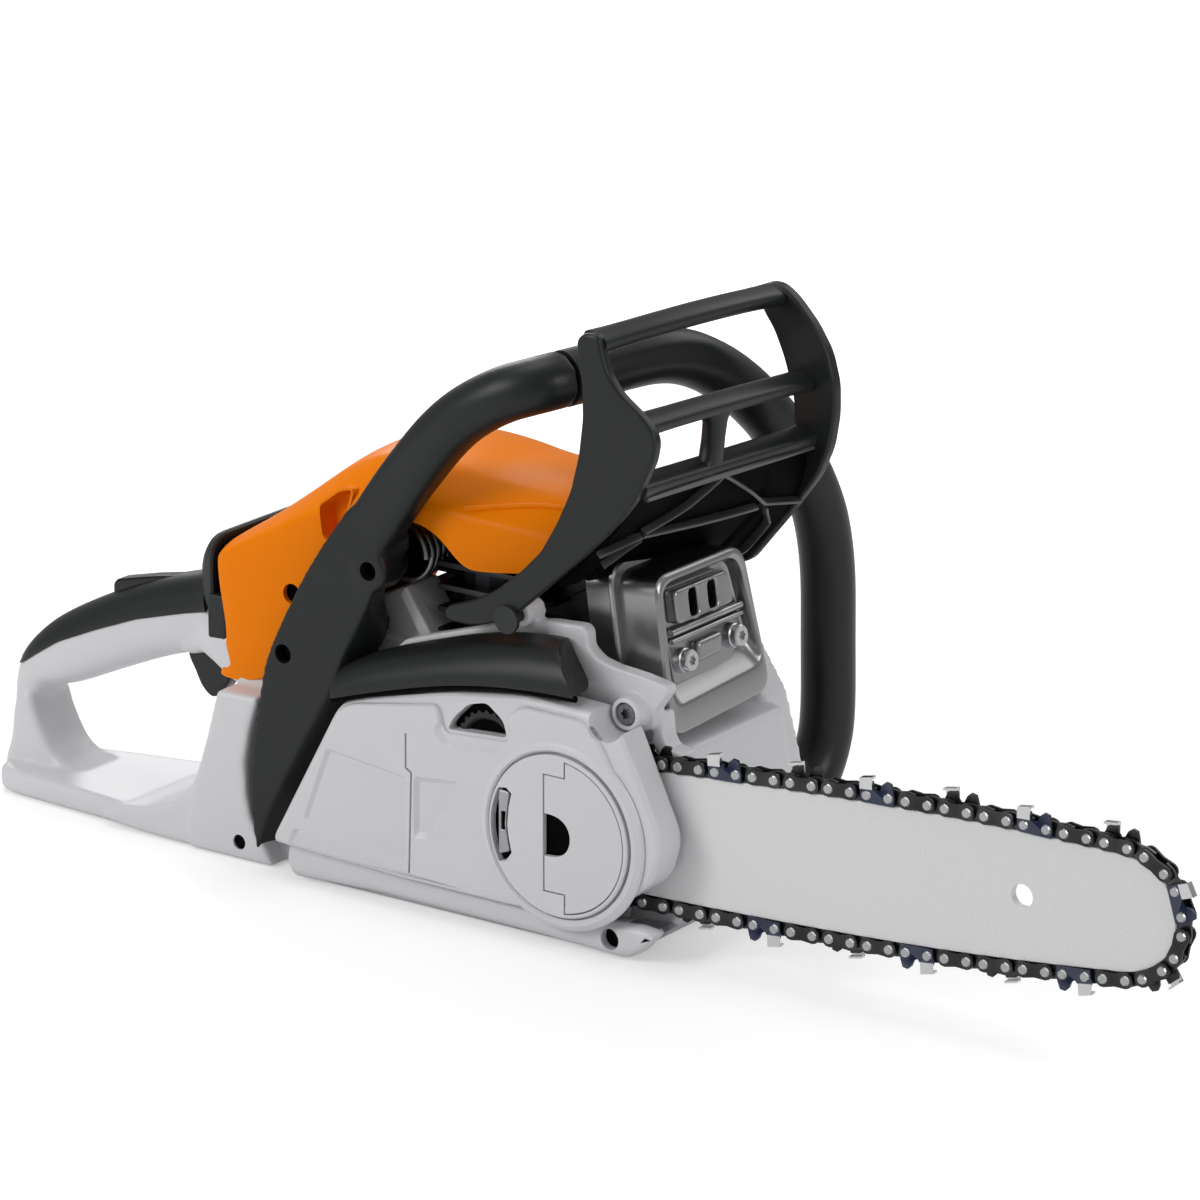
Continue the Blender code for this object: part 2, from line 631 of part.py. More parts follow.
# ---------------------------------------------------------------- hand guard
BLADE_OUTLINE = [(83, 262), (91, 266), (94, 254), (101, 241), (111, 231), (118, 219), (115, 204), (101, 180),
                 (82, 156), (60, 142), (51, 133), (43, 131), (36, 132.5), (11, 128), (8, 134), (38, 147), (61, 166),
                 (74, 193), (79, 223), (84, 245)]
FAR_OUTLINE = [(92, 257), (101, 260), (112, 240), (122, 212), (120, 186), (108, 162), (88, 146), (62, 136),
               (52, 128), (40, 128), (37, 140), (46, 146), (76, 154), (98, 172), (108, 192), (108, 214), (100, 240)]


def hand_guard():
    near = prism_y("hand_guard", pts(BLADE_OUTLINE), Y(-62), Y(-57), black())
    far = prism_y("far", pts(FAR_OUTLINE), Y(64), Y(70), black())
    top = loft("top", [
        [(X(84), Y(-62), Z(258)), (X(94), Y(-62), Z(255)), (X(95), Y(-62), Z(264)), (X(86), Y(-62), Z(266))],
        [(X(92), Y(70), Z(254)), (X(102), Y(70), Z(251)), (X(103), Y(70), Z(260)), (X(94), Y(70), Z(262))],
    ], black())
    middle = box("middle", X(96), X(107), Y(-58), Y(66), Z(213), Z(219), black())
    lower = box("lower", X(99), X(112), Y(-58), Y(66), Z(190), Z(195), black())
    strut = box("strut", X(99), X(105), Y(-4), Y(4), Z(192), Z(215), black())
    web = prism_y("web", pts([(104, 196), (100, 196), (90, 186), (64, 179), (64, 175.5), (92, 182), (106, 193)]),
                  Y(-58), Y(66), black())
    join(near, far, top, middle, lower, strut, web)
    right = turned_y("right", GUARD_PIVOT, [(Y(-70), R(3) + FIT), (Y(-54), R(3) + FIT)], black(), 20)
    left = turned_y("left", GUARD_PIVOT, [(Y(60), R(3) + FIT), (Y(72), R(3) + FIT)], black(), 20)
    cut(near, right, left)
    return set_origin(near, (GUARD_PIVOT[0], Y(0), GUARD_PIVOT[1]))


# ---------------------------------------------------------------- bar, chain and sprocket
SPROCKET_RADIUS = CHAIN_PITCH / (2 * math.sin(math.pi / 12))


def bar_frame(along, up):
    """Point at a distance behind the nose line and over the bar's centre line."""
    nose = (BAR_REACH, CRANK[1] - Z(5.5) + BAR_REACH * math.sin(BAR_TILT))
    cosine = math.cos(BAR_TILT)
    sine = math.sin(BAR_TILT)
    return (nose[0] - along * cosine - up * sine, nose[1] - along * sine + up * cosine)


def rail_height(along):
    """Half height of the rivet line over the bar's centre line."""
    nose_length = 35 * MM
    if along < nose_length:
        return 28.2 * MM * (1 - (1 - along / nose_length) ** 2.25) ** (1 / 2.25)
    if along < 150 * MM:
        return (28.2 + 4.0 * (1 - (1 - (along - nose_length) / (115 * MM)) ** 2)) * MM
    return (32.2 - 2.3 * ((along - 150 * MM) / (130 * MM)) ** 2) * MM


def tail_corners():
    """Narrowed rear end of the bar, clear of the chain on its way to the sprocket."""
    return [bar_frame(BAR_TAIL, -15 * MM), bar_frame(BAR_TAIL, 15 * MM)]


def rail(inset, tail):
    """Closed outline of the bar's rails, nose first, from the top tail round to the bottom tail."""
    stations = [tail - (tail - 35 * MM) * i / 16 for i in range(16)]
    nose = [35 * MM * (1 - math.sin(math.pi / 2 * i / 10)) for i in range(11)]
    upper = [bar_frame(s, rail_height(s)) for s in stations + nose[:-1]]
    lower = [bar_frame(s, -rail_height(s)) for s in (stations + nose[:-1])[::-1]]
    outline = upper + [bar_frame(0.0, 0.0)] + lower
    return offset(outline, -inset) if inset else outline


BAR_TAIL = BAR_REACH - X(47)


def chain_path():
    """Taut loop of the rivets round the bar and the drive sprocket."""
    loop = rail(0.0, BAR_TAIL - 14 * MM) + circle(CRANK[0], CRANK[1], SPROCKET_RADIUS, 48)
    loop = sorted(set(loop))
    hull = []
    for sweep in (loop, loop[::-1]):
        part = []
        for point in sweep:
            while len(part) >= 2 and (
                (part[-1][0] - part[-2][0]) * (point[1] - part[-2][1])
                - (part[-1][1] - part[-2][1]) * (point[0] - part[-2][0])
            ) <= 0:
                part.pop()
            part.append(point)
        hull += part[:-1]
    return hull


def along_loop(loop, count):
    """Evenly spaced points of a closed path with their outward normals."""
    points = np.array(loop)
    ends = np.roll(points, -1, axis=0)
    lengths = np.linalg.norm(ends - points, axis=1)
    marks = np.concatenate([[0.0], np.cumsum(lengths)])
    made = []
    for i in range(count):
        at = marks[-1] * i / count
        k = min(int(np.searchsorted(marks, at, side="right")) - 1, len(points) - 1)
        t = (at - marks[k]) / lengths[k]
        made.append(points[k] * (1 - t) + ends[k] * t)
    made = np.array(made)
    ahead = np.roll(made, -1, axis=0) - np.roll(made, 1, axis=0)
    ahead = ahead / np.linalg.norm(ahead, axis=1)[:, None]
    outward = np.stack([ahead[:, 1], -ahead[:, 0]], axis=1)
    return made, outward


def saw_chain():
    """The chain as one loop: link band with cutters on its outer side."""
    steps = 4 * CHAIN_LINKS
    centres, outward = along_loop(chain_path(), steps)
    heights = (4.2 * MM, 3.4 * MM, 4.2 * MM, 3.4 * MM)
    outer = [tuple(c + n * heights[i % 4]) for i, (c, n) in enumerate(zip(centres, outward))]
    inner = [tuple(c - n * 3.0 * MM) for c, n in zip(centres, outward)]
    mesh = bmesh.new()
    rings = []
    for ring, half in ((outer, 3.2 * MM), (inner, 3.2 * MM)):
        rings.append([[mesh.verts.new((x, BAR_Y + side * half, z)) for x, z in ring] for side in (-1, 1)])
    (outer_right, outer_left), (inner_right, inner_left) = rings
    for i in range(steps):
        j = (i + 1) % steps
        mesh.faces.new((outer_right[i], outer_right[j], outer_left[j], outer_left[i]))
        mesh.faces.new((inner_right[j], inner_right[i], inner_left[i], inner_left[j]))
        mesh.faces.new((outer_right[j], outer_right[i], inner_right[i], inner_right[j]))
        mesh.faces.new((outer_left[i], outer_left[j], inner_left[j], inner_left[i]))
    chain = from_bmesh("saw_chain", mesh, steel())
    cutters = bmesh.new()
    for i in range(0, CHAIN_LINKS, 2):
        side = -1 if (i // 2) % 2 else 1
        k = 4 * i
        a, b, c = centres[k], centres[(k + 1) % steps], centres[(k + 2) % steps]
        n = outward[(k + 1) % steps]
        corners = [a + n * 2.0 * MM, c + n * 2.0 * MM, c + n * 7.4 * MM, b + n * 8.2 * MM]
        ys = (BAR_Y + side * 0.4 * MM, BAR_Y + side * 3.9 * MM)
        low = [cutters.verts.new((x, ys[0], z)) for x, z in corners]
        high = [cutters.verts.new((x, ys[1], z)) for x, z in corners]
        cutters.faces.new(low)
        cutters.faces.new(high[::-1])
        for m in range(4):
            o = (m + 1) % 4
            cutters.faces.new((low[m], low[o], high[o], high[m]))
    return join(chain, from_bmesh("cutters", cutters, steel()))


def guide_bar():
    tail = BAR_TAIL - 22 * MM
    outline = rail(3.4 * MM, tail) + tail_corners()
    body = prism_y("guide_bar", outline, BAR_Y - BAR_THICKNESS / 2, BAR_Y + BAR_THICKNESS / 2, paint())
    slot_length = 12 * MM
    centre = bar_frame(BAR_REACH - STUD[0], 0)
    height = STUD[1]
    slot = []
    for i in range(9):
        angle = -math.pi / 2 + math.pi * i / 8
        slot.append((centre[0] + slot_length / 2 + R(4.4) * math.cos(angle), height + R(4.4) * math.sin(angle)))
    for i in range(9):
        angle = math.pi / 2 + math.pi * i / 8
        slot.append((centre[0] - slot_length + R(4.4) * math.cos(angle), height + R(4.4) * math.sin(angle)))
    cutter = prism_y("slot", slot, BAR_Y - Y(8), BAR_Y + Y(8), paint())
    hole = prism_y("hole", circle(*bar_frame(74 * MM, 0), 5 * MM, 24), BAR_Y - Y(8), BAR_Y + Y(8), paint())
    return cut(body, cutter, hole)


def clutch_drum():
    """Cup round the clutch with the chain sprocket on its inner side."""
    radius = DRUM_RADIUS * S
    drum = turned_y("clutch_drum", CRANK, [(Y(-68), radius), (Y(-54), radius)], steel(), 36)
    hollow = turned_y("hollow", CRANK, [(Y(-70), radius - R(1.6)), (Y(-55.4), radius - R(1.6))], steel(), 36)
    cut(drum, hollow)
    teeth = []
    root = SPROCKET_RADIUS - 6.4 * MM
    for i in range(24):
        reach = root + (2.4 * MM if i % 4 in (0, 1) else 0)
        angle = 2 * math.pi * i / 24
        teeth.append((CRANK[0] + reach * math.cos(angle), CRANK[1] + reach * math.sin(angle)))
    sprocket = prism_y("sprocket", teeth, Y(-54.4), Y(-44), steel())
    join(drum, sprocket)
    bore = turned_y("bore", CRANK, [(Y(-70), R(6)), (Y(-40), R(6))], steel(), 24)
    return set_origin(cut(drum, bore), (CRANK[0], Y(-56), CRANK[1]))


def clutch_shoes():
    """Three-shoe clutch on the end of the crankshaft."""
    outer = turned_y("clutch_shoes", CRANK, [(Y(-67), R(24.5)), (Y(-56), R(24.5))], alloy(), 24)
    slots = []
    for i in range(3):
        angle = 2 * math.pi * i / 3 + 0.4
        direction = Vector((math.cos(angle), 0, math.sin(angle)))
        normal = Vector((-math.sin(angle), 0, math.cos(angle)))
        corners = []
        for reach, side in ((R(13), -1), (R(30), -1), (R(30), 1), (R(13), 1)):
            point = Vector((CRANK[0], 0, CRANK[1])) + direction * reach + normal * side * R(1.4)
            corners.append((point.x, point.z))
        slots.append(prism_y(f"slot{i}", corners, Y(-70), Y(-50), alloy()))
    bore = turned_y("bore", CRANK, [(Y(-70), R(4) + FIT), (Y(-50), R(4) + FIT)], alloy(), 24)
    return set_origin(cut(outer, *slots, bore), (CRANK[0], Y(-60), CRANK[1]))


def brake_band():
    """Steel band round the clutch drum, open at the front."""
    inner = DRUM_RADIUS * S + R(0.8)
    outer = inner + R(1.0)
    outline = []
    for i in range(41):
        angle = math.radians(35 + 290 * i / 40)
        outline.append((CRANK[0] + outer * math.cos(angle), CRANK[1] + outer * math.sin(angle)))
    for i in range(40, -1, -1):
        angle = math.radians(35 + 290 * i / 40)
        outline.append((CRANK[0] + inner * math.cos(angle), CRANK[1] + inner * math.sin(angle)))
    return prism_y("brake_band", outline, Y(-67), Y(-57), steel())


# ---------------------------------------------------------------- engine
def crankcase():
    block = box("crankcase", X(-33), X(33), Y(-28), Y(30), Z(6) + FIT, Z(81), alloy())
    right = turned_y("right", CRANK, [(Y(-38), R(17)), (Y(-27), R(17))], alloy(), 24)
    join(block, right)
    room = turned_y("room", CRANK, [(Y(-17), R(27)), (Y(19), R(27))], alloy(), 24)
    bore = turned_z("bore", (X(0), Y(1)), [(CRANK[1], BORE * S / 2 + R(1)), (Z(84), BORE * S / 2 + R(1))], alloy(), 24)
    shaft = turned_y("shaft", CRANK, [(Y(-40), R(8) + RUN), (Y(34), R(8) + RUN)], alloy(), 24)
    return cut(block, room, bore, shaft)


def cylinder():
    barrel = turned_z("cylinder", (X(0), Y(1)), [(Z(81) + FIT, R(25)), (Z(160), R(25))], alloy(), 24)
    fins = []
    for i in range(7):
        z = 92 + 10 * i
        w = 41 - (0 if i < 6 else 4)
        fins.append(prism_z(f"fin{i}", [(X(-w + 6), Y(-31)), (X(w - 6), Y(-31)), (X(w), Y(-25)), (X(w), Y(27)),
                                        (X(w - 6), Y(33)), (X(-w + 6), Y(33)), (X(-w), Y(27)), (X(-w), Y(-25))],
                            Z(z), Z(z + 2.2), alloy()))
        if z > 118:
            cut(fins[-1], box("notch", X(-60), X(-15), Y(-40), Y(-10.5), Z(100), Z(180), alloy()))
    exhaust = box("exhaust", X(15), X(64), Y(-14), Y(16), Z(112), Z(134), alloy())
    intake = box("intake", X(-46), X(-15), Y(-11), Y(13), Z(98), Z(120), alloy())
    join(barrel, *fins, exhaust, intake)
    bore = turned_z("bore", (X(0), Y(1)), [(Z(70), BORE * S / 2), (Z(140), BORE * S / 2)], alloy(), 24)
    plug = turned_z("plug", (X(0), Y(1)), [(Z(138), R(6) + FIT), (Z(166), R(6) + FIT)], alloy(), 20)
    port = turned_x("port", (Y(1), Z(123)), [(X(10), R(8)), (X(70), R(8))], alloy(), 20)
    inlet = turned_x("inlet", (Y(1), Z(109)), [(X(-50), R(7)), (X(-10), R(7))], alloy(), 20)
    return cut(barrel, bore, plug, port, inlet)


PIN_Z = CRANK[1] + STROKE * S / 2
ROD = Z(50)


def piston():
    radius = BORE * S / 2 - FIT
    at = (X(0), Y(1))
    body = turned_z("piston", at, [(PIN_Z + ROD - R(12), radius), (PIN_Z + ROD + R(14), radius)], alloy(), 24)
    hollow = turned_z("hollow", at, [(PIN_Z + ROD - R(20), radius - R(3)), (PIN_Z + ROD + R(10), radius - R(3))],
                      alloy(), 24)
    cut(body, hollow)
    pin = turned_y("pin", (X(0), PIN_Z + ROD), [(Y(1) - radius + R(2), R(4)), (Y(1) + radius - R(2), R(4))], steel(),
                   16)
    return join(body, pin)


def connecting_rod():
    top = PIN_Z + ROD
    small = turned_y("connecting_rod", (X(0), top), [(Y(-3), R(6.5)), (Y(5), R(6.5))], steel(), 24)
    big = turned_y("big", (X(0), PIN_Z), [(Y(-3), R(9.5)), (Y(5), R(9.5))], steel(), 24)
    shank = box("shank", X(0) - R(4), X(0) + R(4), Y(-1.5), Y(3.5), PIN_Z + R(4), top - R(3), steel())
    join(small, shank, big)
    bore_small = turned_y("s", (X(0), top), [(Y(-8), R(4) + FIT), (Y(10), R(4) + FIT)], steel(), 16)
    bore_big = turned_y("b", (X(0), PIN_Z), [(Y(-8), R(5) + FIT), (Y(10), R(5) + FIT)], steel(), 16)
    return cut(small, bore_small, bore_big)


def crank_pin():
    return turned_y("crank_pin", (X(0), PIN_Z), [(Y(-4.5) + FIT, R(5)), (Y(6.5) - FIT, R(5))], steel(), 20)


def crank_half(name, inner, outer, end):
    """One web of the crankshaft with its shaft."""
    reach = 1 if end > inner else -1
    profile = [(inner, R(21)), (inner + reach * Y(9), R(21)), (inner + reach * Y(9), R(7.5)), (outer, R(7.5)),
               (outer, R(4)), (end, R(4))]
    return set_origin(turned_y(name, CRANK, profile, steel(), 24), (CRANK[0], inner, CRANK[1]))


def flywheel():
    body = turned_y("flywheel", CRANK, [(Y(34), R(36)), (Y(41), R(36)), (Y(42), R(34))], alloy(), 32)
    blades = []
    for i in range(10):
        angle = 2 * math.pi * i / 10
        lean = angle + 0.25
        corners = []
        for reach, turn in ((R(14), angle), (R(33), lean), (R(33), lean + 0.07), (R(14), angle + 0.16)):
            corners.append((CRANK[0] + reach * math.cos(turn), CRANK[1] + reach * math.sin(turn)))
        blades.append(prism_y(f"blade{i}", corners, Y(41.6), Y(52), alloy()))
    join(body, *blades)
    hub = turned_y("hub", CRANK, [(Y(41), R(10)), (Y(53), R(10))], alloy(), 24)
    join(body, hub)
    bore = turned_y("bore", CRANK, [(Y(30), R(4) + FIT), (Y(60), R(4) + FIT)], alloy(), 24)
    return set_origin(cut(body, bore), (CRANK[0], Y(40), CRANK[1]))


def ignition_coil():
    return box("ignition_coil", X(0) + R(37), X(49) - FIT, Y(32), Y(43), Z(44), Z(64), rubber())


def oil_pump():
    body = turned_y("oil_pump", CRANK, [(Y(-43.4), R(18)), (Y(-38) - FIT, R(18))], alloy(), 24)
    bore = turned_y("bore", CRANK, [(Y(-50), R(8)), (Y(-30), R(8))], alloy(), 24)
    return cut(body, bore)


def spark_plug():
    return turned_z("spark_plug", (X(0), Y(1)), [(Z(141), R(6)), (Z(160) + FIT, R(6)), (Z(160) + FIT, R(8)),
                                                (Z(164), R(8)), (Z(164), R(4)), (Z(176), R(4))], steel(), 20)


def plug_boot():
    body = turned_z("plug_boot", (X(0), Y(1)), [(Z(164) + FIT, R(8)), (Z(179), R(8)), (Z(181.5), R(6))], rubber(), 20)
    bore = turned_z("bore", (X(0), Y(1)), [(Z(160), R(4) + FIT), (Z(177), R(4) + FIT)], rubber(), 16)
    return cut(body, bore)


def intake_boot():
    body = turned_x("intake_boot", (Y(1), Z(109)), [(X(-62), R(12)), (X(-46) - FIT, R(12))], rubber(), 24)
    bore = turned_x("bore", (Y(1), Z(109)), [(X(-70), R(7)), (X(-40), R(7))], rubber(), 24)
    return cut(body, bore)


def carburettor():
    body = box("carburettor", X(-84), X(-62) - FIT, Y(-16), Y(18), Z(96), Z(122), alloy())
    bore = turned_x("bore", (Y(1), Z(109)), [(X(-90), R(6)), (X(-50), R(6))], alloy(), 24)
    shaft = turned_y("shaft", (X(-68), Z(117.5)), [(Y(-30), R(2) + FIT), (Y(-8), R(2) + FIT)], alloy(), 16)
    return cut(body, bore, shaft)


def throttle_lever():
    centre = (X(-68), Z(117.5))
    plate = prism_y("throttle_lever", pts([(-72, 114), (-64, 114), (-64, 121), (-66, 130), (-71, 130), (-72, 121)]),
                    Y(-19), Y(-16) - FIT, steel())
    shaft = turned_y("shaft", centre, [(Y(-18), R(2)), (Y(-9), R(2))], steel(), 16)
    return set_origin(join(plate, shaft), (centre[0], Y(-17), centre[1]))


def throttle_rod():
    path = [(X(-127), Y(-23), Z(86)), (X(-120), Y(-23), Z(104)), (X(-112), Y(-23), Z(126)),
            (X(-100), Y(-22), Z(127)), (X(-70), Y(-20.6), Z(126))]
    return tube("throttle_rod", path, R(1.0), steel(), 8)


def air_filter():
    body = box("air_filter", X(-119), X(-84) - FIT, Y(-3), Y(38), Z(82), Z(124), rubber())
    return soften(body, R(3), 1)


def control_lever():
    """Lever for stop, run and choke, on the left of the collar."""
    centre = (X(-118), Z(110))
    hub = turned_y("control_lever", centre, [(Y(44) + RUN, R(7)), (Y(50), R(7))], black(), 24)
    lever = prism_y("lever", [(centre[0], centre[1] - R(3)), (centre[0] - R(24), centre[1] + R(4)),
                              (centre[0] - R(25), centre[1] + R(10)), (centre[0], centre[1] + R(6.5))],
                    Y(45), Y(50), black())
    return set_origin(join(hub, lever), (centre[0], Y(47), centre[1]))


# ---------------------------------------------------------------- muffler
def rounded(x, w, z0, z1, r):
    """Rounded rectangle across the saw at one length."""
    ring = []
    for cy, cz, start in ((w - r, z1 - r, 0), (-w + r, z1 - r, 90), (-w + r, z0 + r, 180), (w - r, z0 + r, 270)):
        for k in range(4):
            angle = math.radians(start + 30 * k)
            ring.append((X(x), Y(1 + cy + r * math.cos(angle)), Z(cz + r * math.sin(angle))))
    return ring


def muffler():
    rings = [rounded(64.6, 31, 96, 156, 8), rounded(82, 34, 92, 159, 9), rounded(82.4, 36, 90, 161, 9),
             rounded(85, 36, 90, 161, 9), rounded(85.4, 34, 92, 159, 9), rounded(100, 31, 94, 155, 9),
             rounded(105, 28, 97, 150, 8)]
    for ring in rings:
        for i, (x, y, z) in enumerate(ring):
            ring[i] = (x - (z - Z(123)) * 0.14 * min(1.0, (x - X(64.6)) / X(20)), y, z)
    body = loft("muffler", rings, steel())
    inlet = turned_x("inlet", (Y(1), Z(123)), [(X(60), R(8)), (X(90), R(8))], steel(), 20)
    return cut(body, inlet)


def slanted(x, y, z):
    """Point on the leaning front face of the muffler, a distance ahead of it."""
    return (X(105.2 + x) - (Z(z) - Z(123)) * 0.14, Y(y), Z(z))


def muffler_bracket():
    """Spark screen holder on the front of the muffler, with two slots."""
    outline = [(-19, 108), (15, 108), (24, 114), (24, 144), (18, 148), (-12, 148), (-19, 142)]
    plate = loft("spark_screen_bracket", [[slanted(0.3, y, z) for y, z in outline],
                                          [slanted(4.0, y, z) for y, z in outline]], alloy())
    cutters = []
    for i, y in enumerate((-6, 9)):
        ring = [(y - 3, 130), (y + 3, 130), (y + 4, 133), (y + 4, 141), (y + 3, 144), (y - 3, 144), (y - 4, 141),
                (y - 4, 133)]
        cutters.append(loft(f"slot{i}", [[slanted(-2, a, b) for a, b in ring], [slanted(8, a, b) for a, b in ring]],
                            alloy()))
    return cut(plate, *cutters)


def muffler_screw(name, y, z):
    rings = []
    for x, radius in ((4.3, 5.0), (7.5, 5.0), (8.5, 4.0)):
        rings.append([slanted(x, y + radius * math.cos(math.pi * k / 10), z + radius * math.sin(math.pi * k / 10))
                      for k in range(20)])
    return loft(name, rings, steel())


# ---------------------------------------------------------------- fan cover and starter
FAN_OUTLINE = [(-66, 14), (-60, 6), (56, 6), (64, 14), (66, 60), (62, 86), (52, 100), (30, 106), (-24, 106),
               (-50, 96), (-64, 74)]


def fan_cover():
    body = prism_y("fan_cover", pts(FAN_OUTLINE), Y(44) + FIT, Y(98), white())
    soften(body, R(3.0), 2, 30)
    inner = prism_y("inner", offset(pts(FAN_OUTLINE), -WALL), Y(40), Y(98) - WALL, white())
    cut(body, inner)
    lug = prism_y("lug", pts([(36, 100), (54, 96), (54, 140), (50, 145), (40, 145), (36, 140)]), Y(70) + RUN, Y(76),
                  white())
    post = turned_y("post", CRANK, [(Y(97), R(5)), (Y(64), R(5))], white(), 24)
    join(body, lug, post)
    vents = []
    for i in range(14):
        if i == 3:
            continue
        angle = 2 * math.pi * i / 14
        corners = []
        for reach, side in ((R(22), -1), (R(38), -1.6), (R(38), 1.6), (R(22), 1)):
            corners.append((CRANK[0] + reach * math.cos(angle) - side * R(1.6) * math.sin(angle),
                            CRANK[1] + reach * math.sin(angle) + side * R(1.6) * math.cos(angle)))
        vents.append(prism_y(f"vent{i}", corners, Y(90), Y(104), white()))
    rope = turned_z("rope", (X(0) - R(21), Y(73)), [(Z(98), R(3)), (Z(112), R(3))], white(), 16)
    pin = turned_y("pin", GUARD_PIVOT, [(Y(66), R(3) + FIT), (Y(80), R(3) + FIT)], white(), 20)
    return cut(body, *vents, rope, pin)


def starter_rotor():
    body = turned_y("starter_rotor", CRANK, [(Y(67), R(22.5)), (Y(70), R(22.5)), (Y(71), R(19)), (Y(75), R(19)),
                                             (Y(76), R(22.5)), (Y(79), R(22.5))], black(), 28)
    bore = turned_y("bore", CRANK, [(Y(60), R(5) + RUN), (Y(90), R(5) + RUN)], black(), 24)
    return set_origin(cut(body, bore), (CRANK[0], Y(73), CRANK[1]))


def rewind_spring():
    """Flat spiral spring between the rotor and the cover."""
    outline = []
    steps = 48
    turns = 3
    for side in (1, -1):
        order = range(steps + 1) if side == 1 else range(steps, -1, -1)
        for i in order:
            angle = 2 * math.pi * turns * i / steps
            radius = R(7) + R(12) * i / steps + side * R(0.35)
            outline.append((CRANK[0] + radius * math.cos(angle), CRANK[1] + radius * math.sin(angle)))
    return prism_y("rewind_spring", outline, Y(79) + RUN, Y(86), steel())


def starter_grip():
    at = (X(0) - R(21), Y(73))
    body = turned_z("starter_grip", at, [(Z(106) + RUN, R(6)), (Z(112), R(7)), (Z(116), R(6))], black(), 20)
    bar = box("bar", at[0] - R(22), at[0] + R(22), at[1] - R(6), at[1] + R(6), Z(115), Z(125), black())
    soften(bar, R(3), 2)
    join(bar, body)
    hole = turned_z("hole", at, [(Z(100), R(1.5) + FIT), (Z(118), R(1.5) + FIT)], black(), 12)
    bar = cut(bar, hole)
    bar.name = "starter_grip"
    return set_origin(bar, (at[0], at[1], Z(106)))


def starter_rope():
    at = (X(0) - R(21), Y(73))
    return turned_z("starter_rope", at, [(CRANK[1] + R(2), R(1.5)), (Z(117.6), R(1.5))], rubber(), 12)


# ---------------------------------------------------------------- screws and small pieces
def screw_y(name, x, z, y, radius, length):
    """Screw head on a face that looks to the right."""
    return turned_y(name, (X(x), Z(z)), [(y - Y(3), R(radius * 0.85)), (y - Y(2.4), R(radius)), (y - FIT, R(radius)),
                                         (y - FIT, R(radius * 0.5)), (y + Y(length), R(radius * 0.5))], steel(), 20)


def rear_av_buffer():
    """Rubber buffer between the tank unit and the engine housing."""
    outline = [(X(-80) + FIT, Z(30)), (X(-69.2) - FIT, Z(30)), (X(-64.4) - FIT, Z(60)), (X(-80) + FIT, Z(60))]
    return prism_y("rear_av_buffer", outline, Y(-8), Y(12), rubber())


def base_link():
    """Rubber buffer under the engine, between the housing and the tank unit."""
    return box("lower_av_buffer", X(-80) + FIT, X(-74) - FIT, Y(-30), Y(30), Z(2), Z(12), rubber())


def build():
    clear_scene()
    engine_housing()
    chain_catcher()
    cap("oil_cap", X(86), Z(60), Y(58))
    cap("fuel_cap", X(-99), Z(40), Y(52))
    rear_handle()
    handle_moulding()
    trigger()
    interlock()
    handle_arm()
    front_handle()
    foot_buffer()
    av_spring()
    spring_bracket()
    top_cover()
    clutch_cover()
    wing_disc()
    wing_flap()
    bar_stud()
    adjuster()
    adjuster_shaft()
    brake_shell()
    front_bracket()
    pivot_pin("guard_pin_right", Y(-64) - FIT, Y(-43))
    hand_guard()
    pivot_pin("guard_pin_left", Y(62), Y(76))
    saw_chain()
    guide_bar()
    clutch_drum()
    clutch_shoes()
    brake_band()
    crankcase()
    cylinder()
    piston()
    connecting_rod()
    crank_pin()
    crank_half("crankshaft_right", Y(-4.5), Y(-43.4), Y(-69))
    crank_half("crankshaft_left", Y(6.5), Y(33), Y(58))
    flywheel()
    ignition_coil()
    oil_pump()
    spark_plug()
    plug_boot()
    intake_boot()
    carburettor()
    throttle_lever()
    throttle_rod()
    air_filter()
    control_lever()
    muffler()
    muffler_bracket()
    muffler_screw("muffler_screw_lower", -13, 113)
    muffler_screw("muffler_screw_upper", 19, 121)
    fan_cover()
    starter_rotor()
    rewind_spring()
    starter_grip()
    starter_rope()
    rear_av_buffer()
    base_link()


build()
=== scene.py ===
"""Petrol chainsaw: detailed pieces, finishes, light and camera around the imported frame."""
import math
import bmesh
import bpy
from mathutils import Matrix, Vector


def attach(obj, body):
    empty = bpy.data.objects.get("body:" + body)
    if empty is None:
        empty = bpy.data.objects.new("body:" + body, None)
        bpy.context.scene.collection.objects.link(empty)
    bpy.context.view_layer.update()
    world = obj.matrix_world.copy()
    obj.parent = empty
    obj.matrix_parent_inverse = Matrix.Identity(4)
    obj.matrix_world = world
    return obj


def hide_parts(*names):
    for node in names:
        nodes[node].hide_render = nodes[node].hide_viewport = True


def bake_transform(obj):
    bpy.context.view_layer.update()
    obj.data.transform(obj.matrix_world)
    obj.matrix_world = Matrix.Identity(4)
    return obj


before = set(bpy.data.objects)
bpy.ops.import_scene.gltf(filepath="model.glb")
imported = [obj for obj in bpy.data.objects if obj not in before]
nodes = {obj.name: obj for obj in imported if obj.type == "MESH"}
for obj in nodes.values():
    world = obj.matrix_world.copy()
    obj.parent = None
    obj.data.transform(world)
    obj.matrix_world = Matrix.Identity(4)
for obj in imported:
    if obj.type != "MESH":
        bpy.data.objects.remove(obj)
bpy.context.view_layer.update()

MM = 0.001
AXES = {"X": Vector((1, 0, 0)), "Y": Vector((0, 1, 0)), "Z": Vector((0, 0, 1))}
UPRIGHT = Matrix(((1, 0, 0, 0), (0, 0, 1, 0), (0, 1, 0, 0), (0, 0, 0, 1)))
LYING = Matrix.Identity(4)
CRANK = (0, 52)
BAR_Y = -48
GRIP_Y = -22
STUD = (78, 51.5)
STUD_AXIS = (78, 0, 51.5)


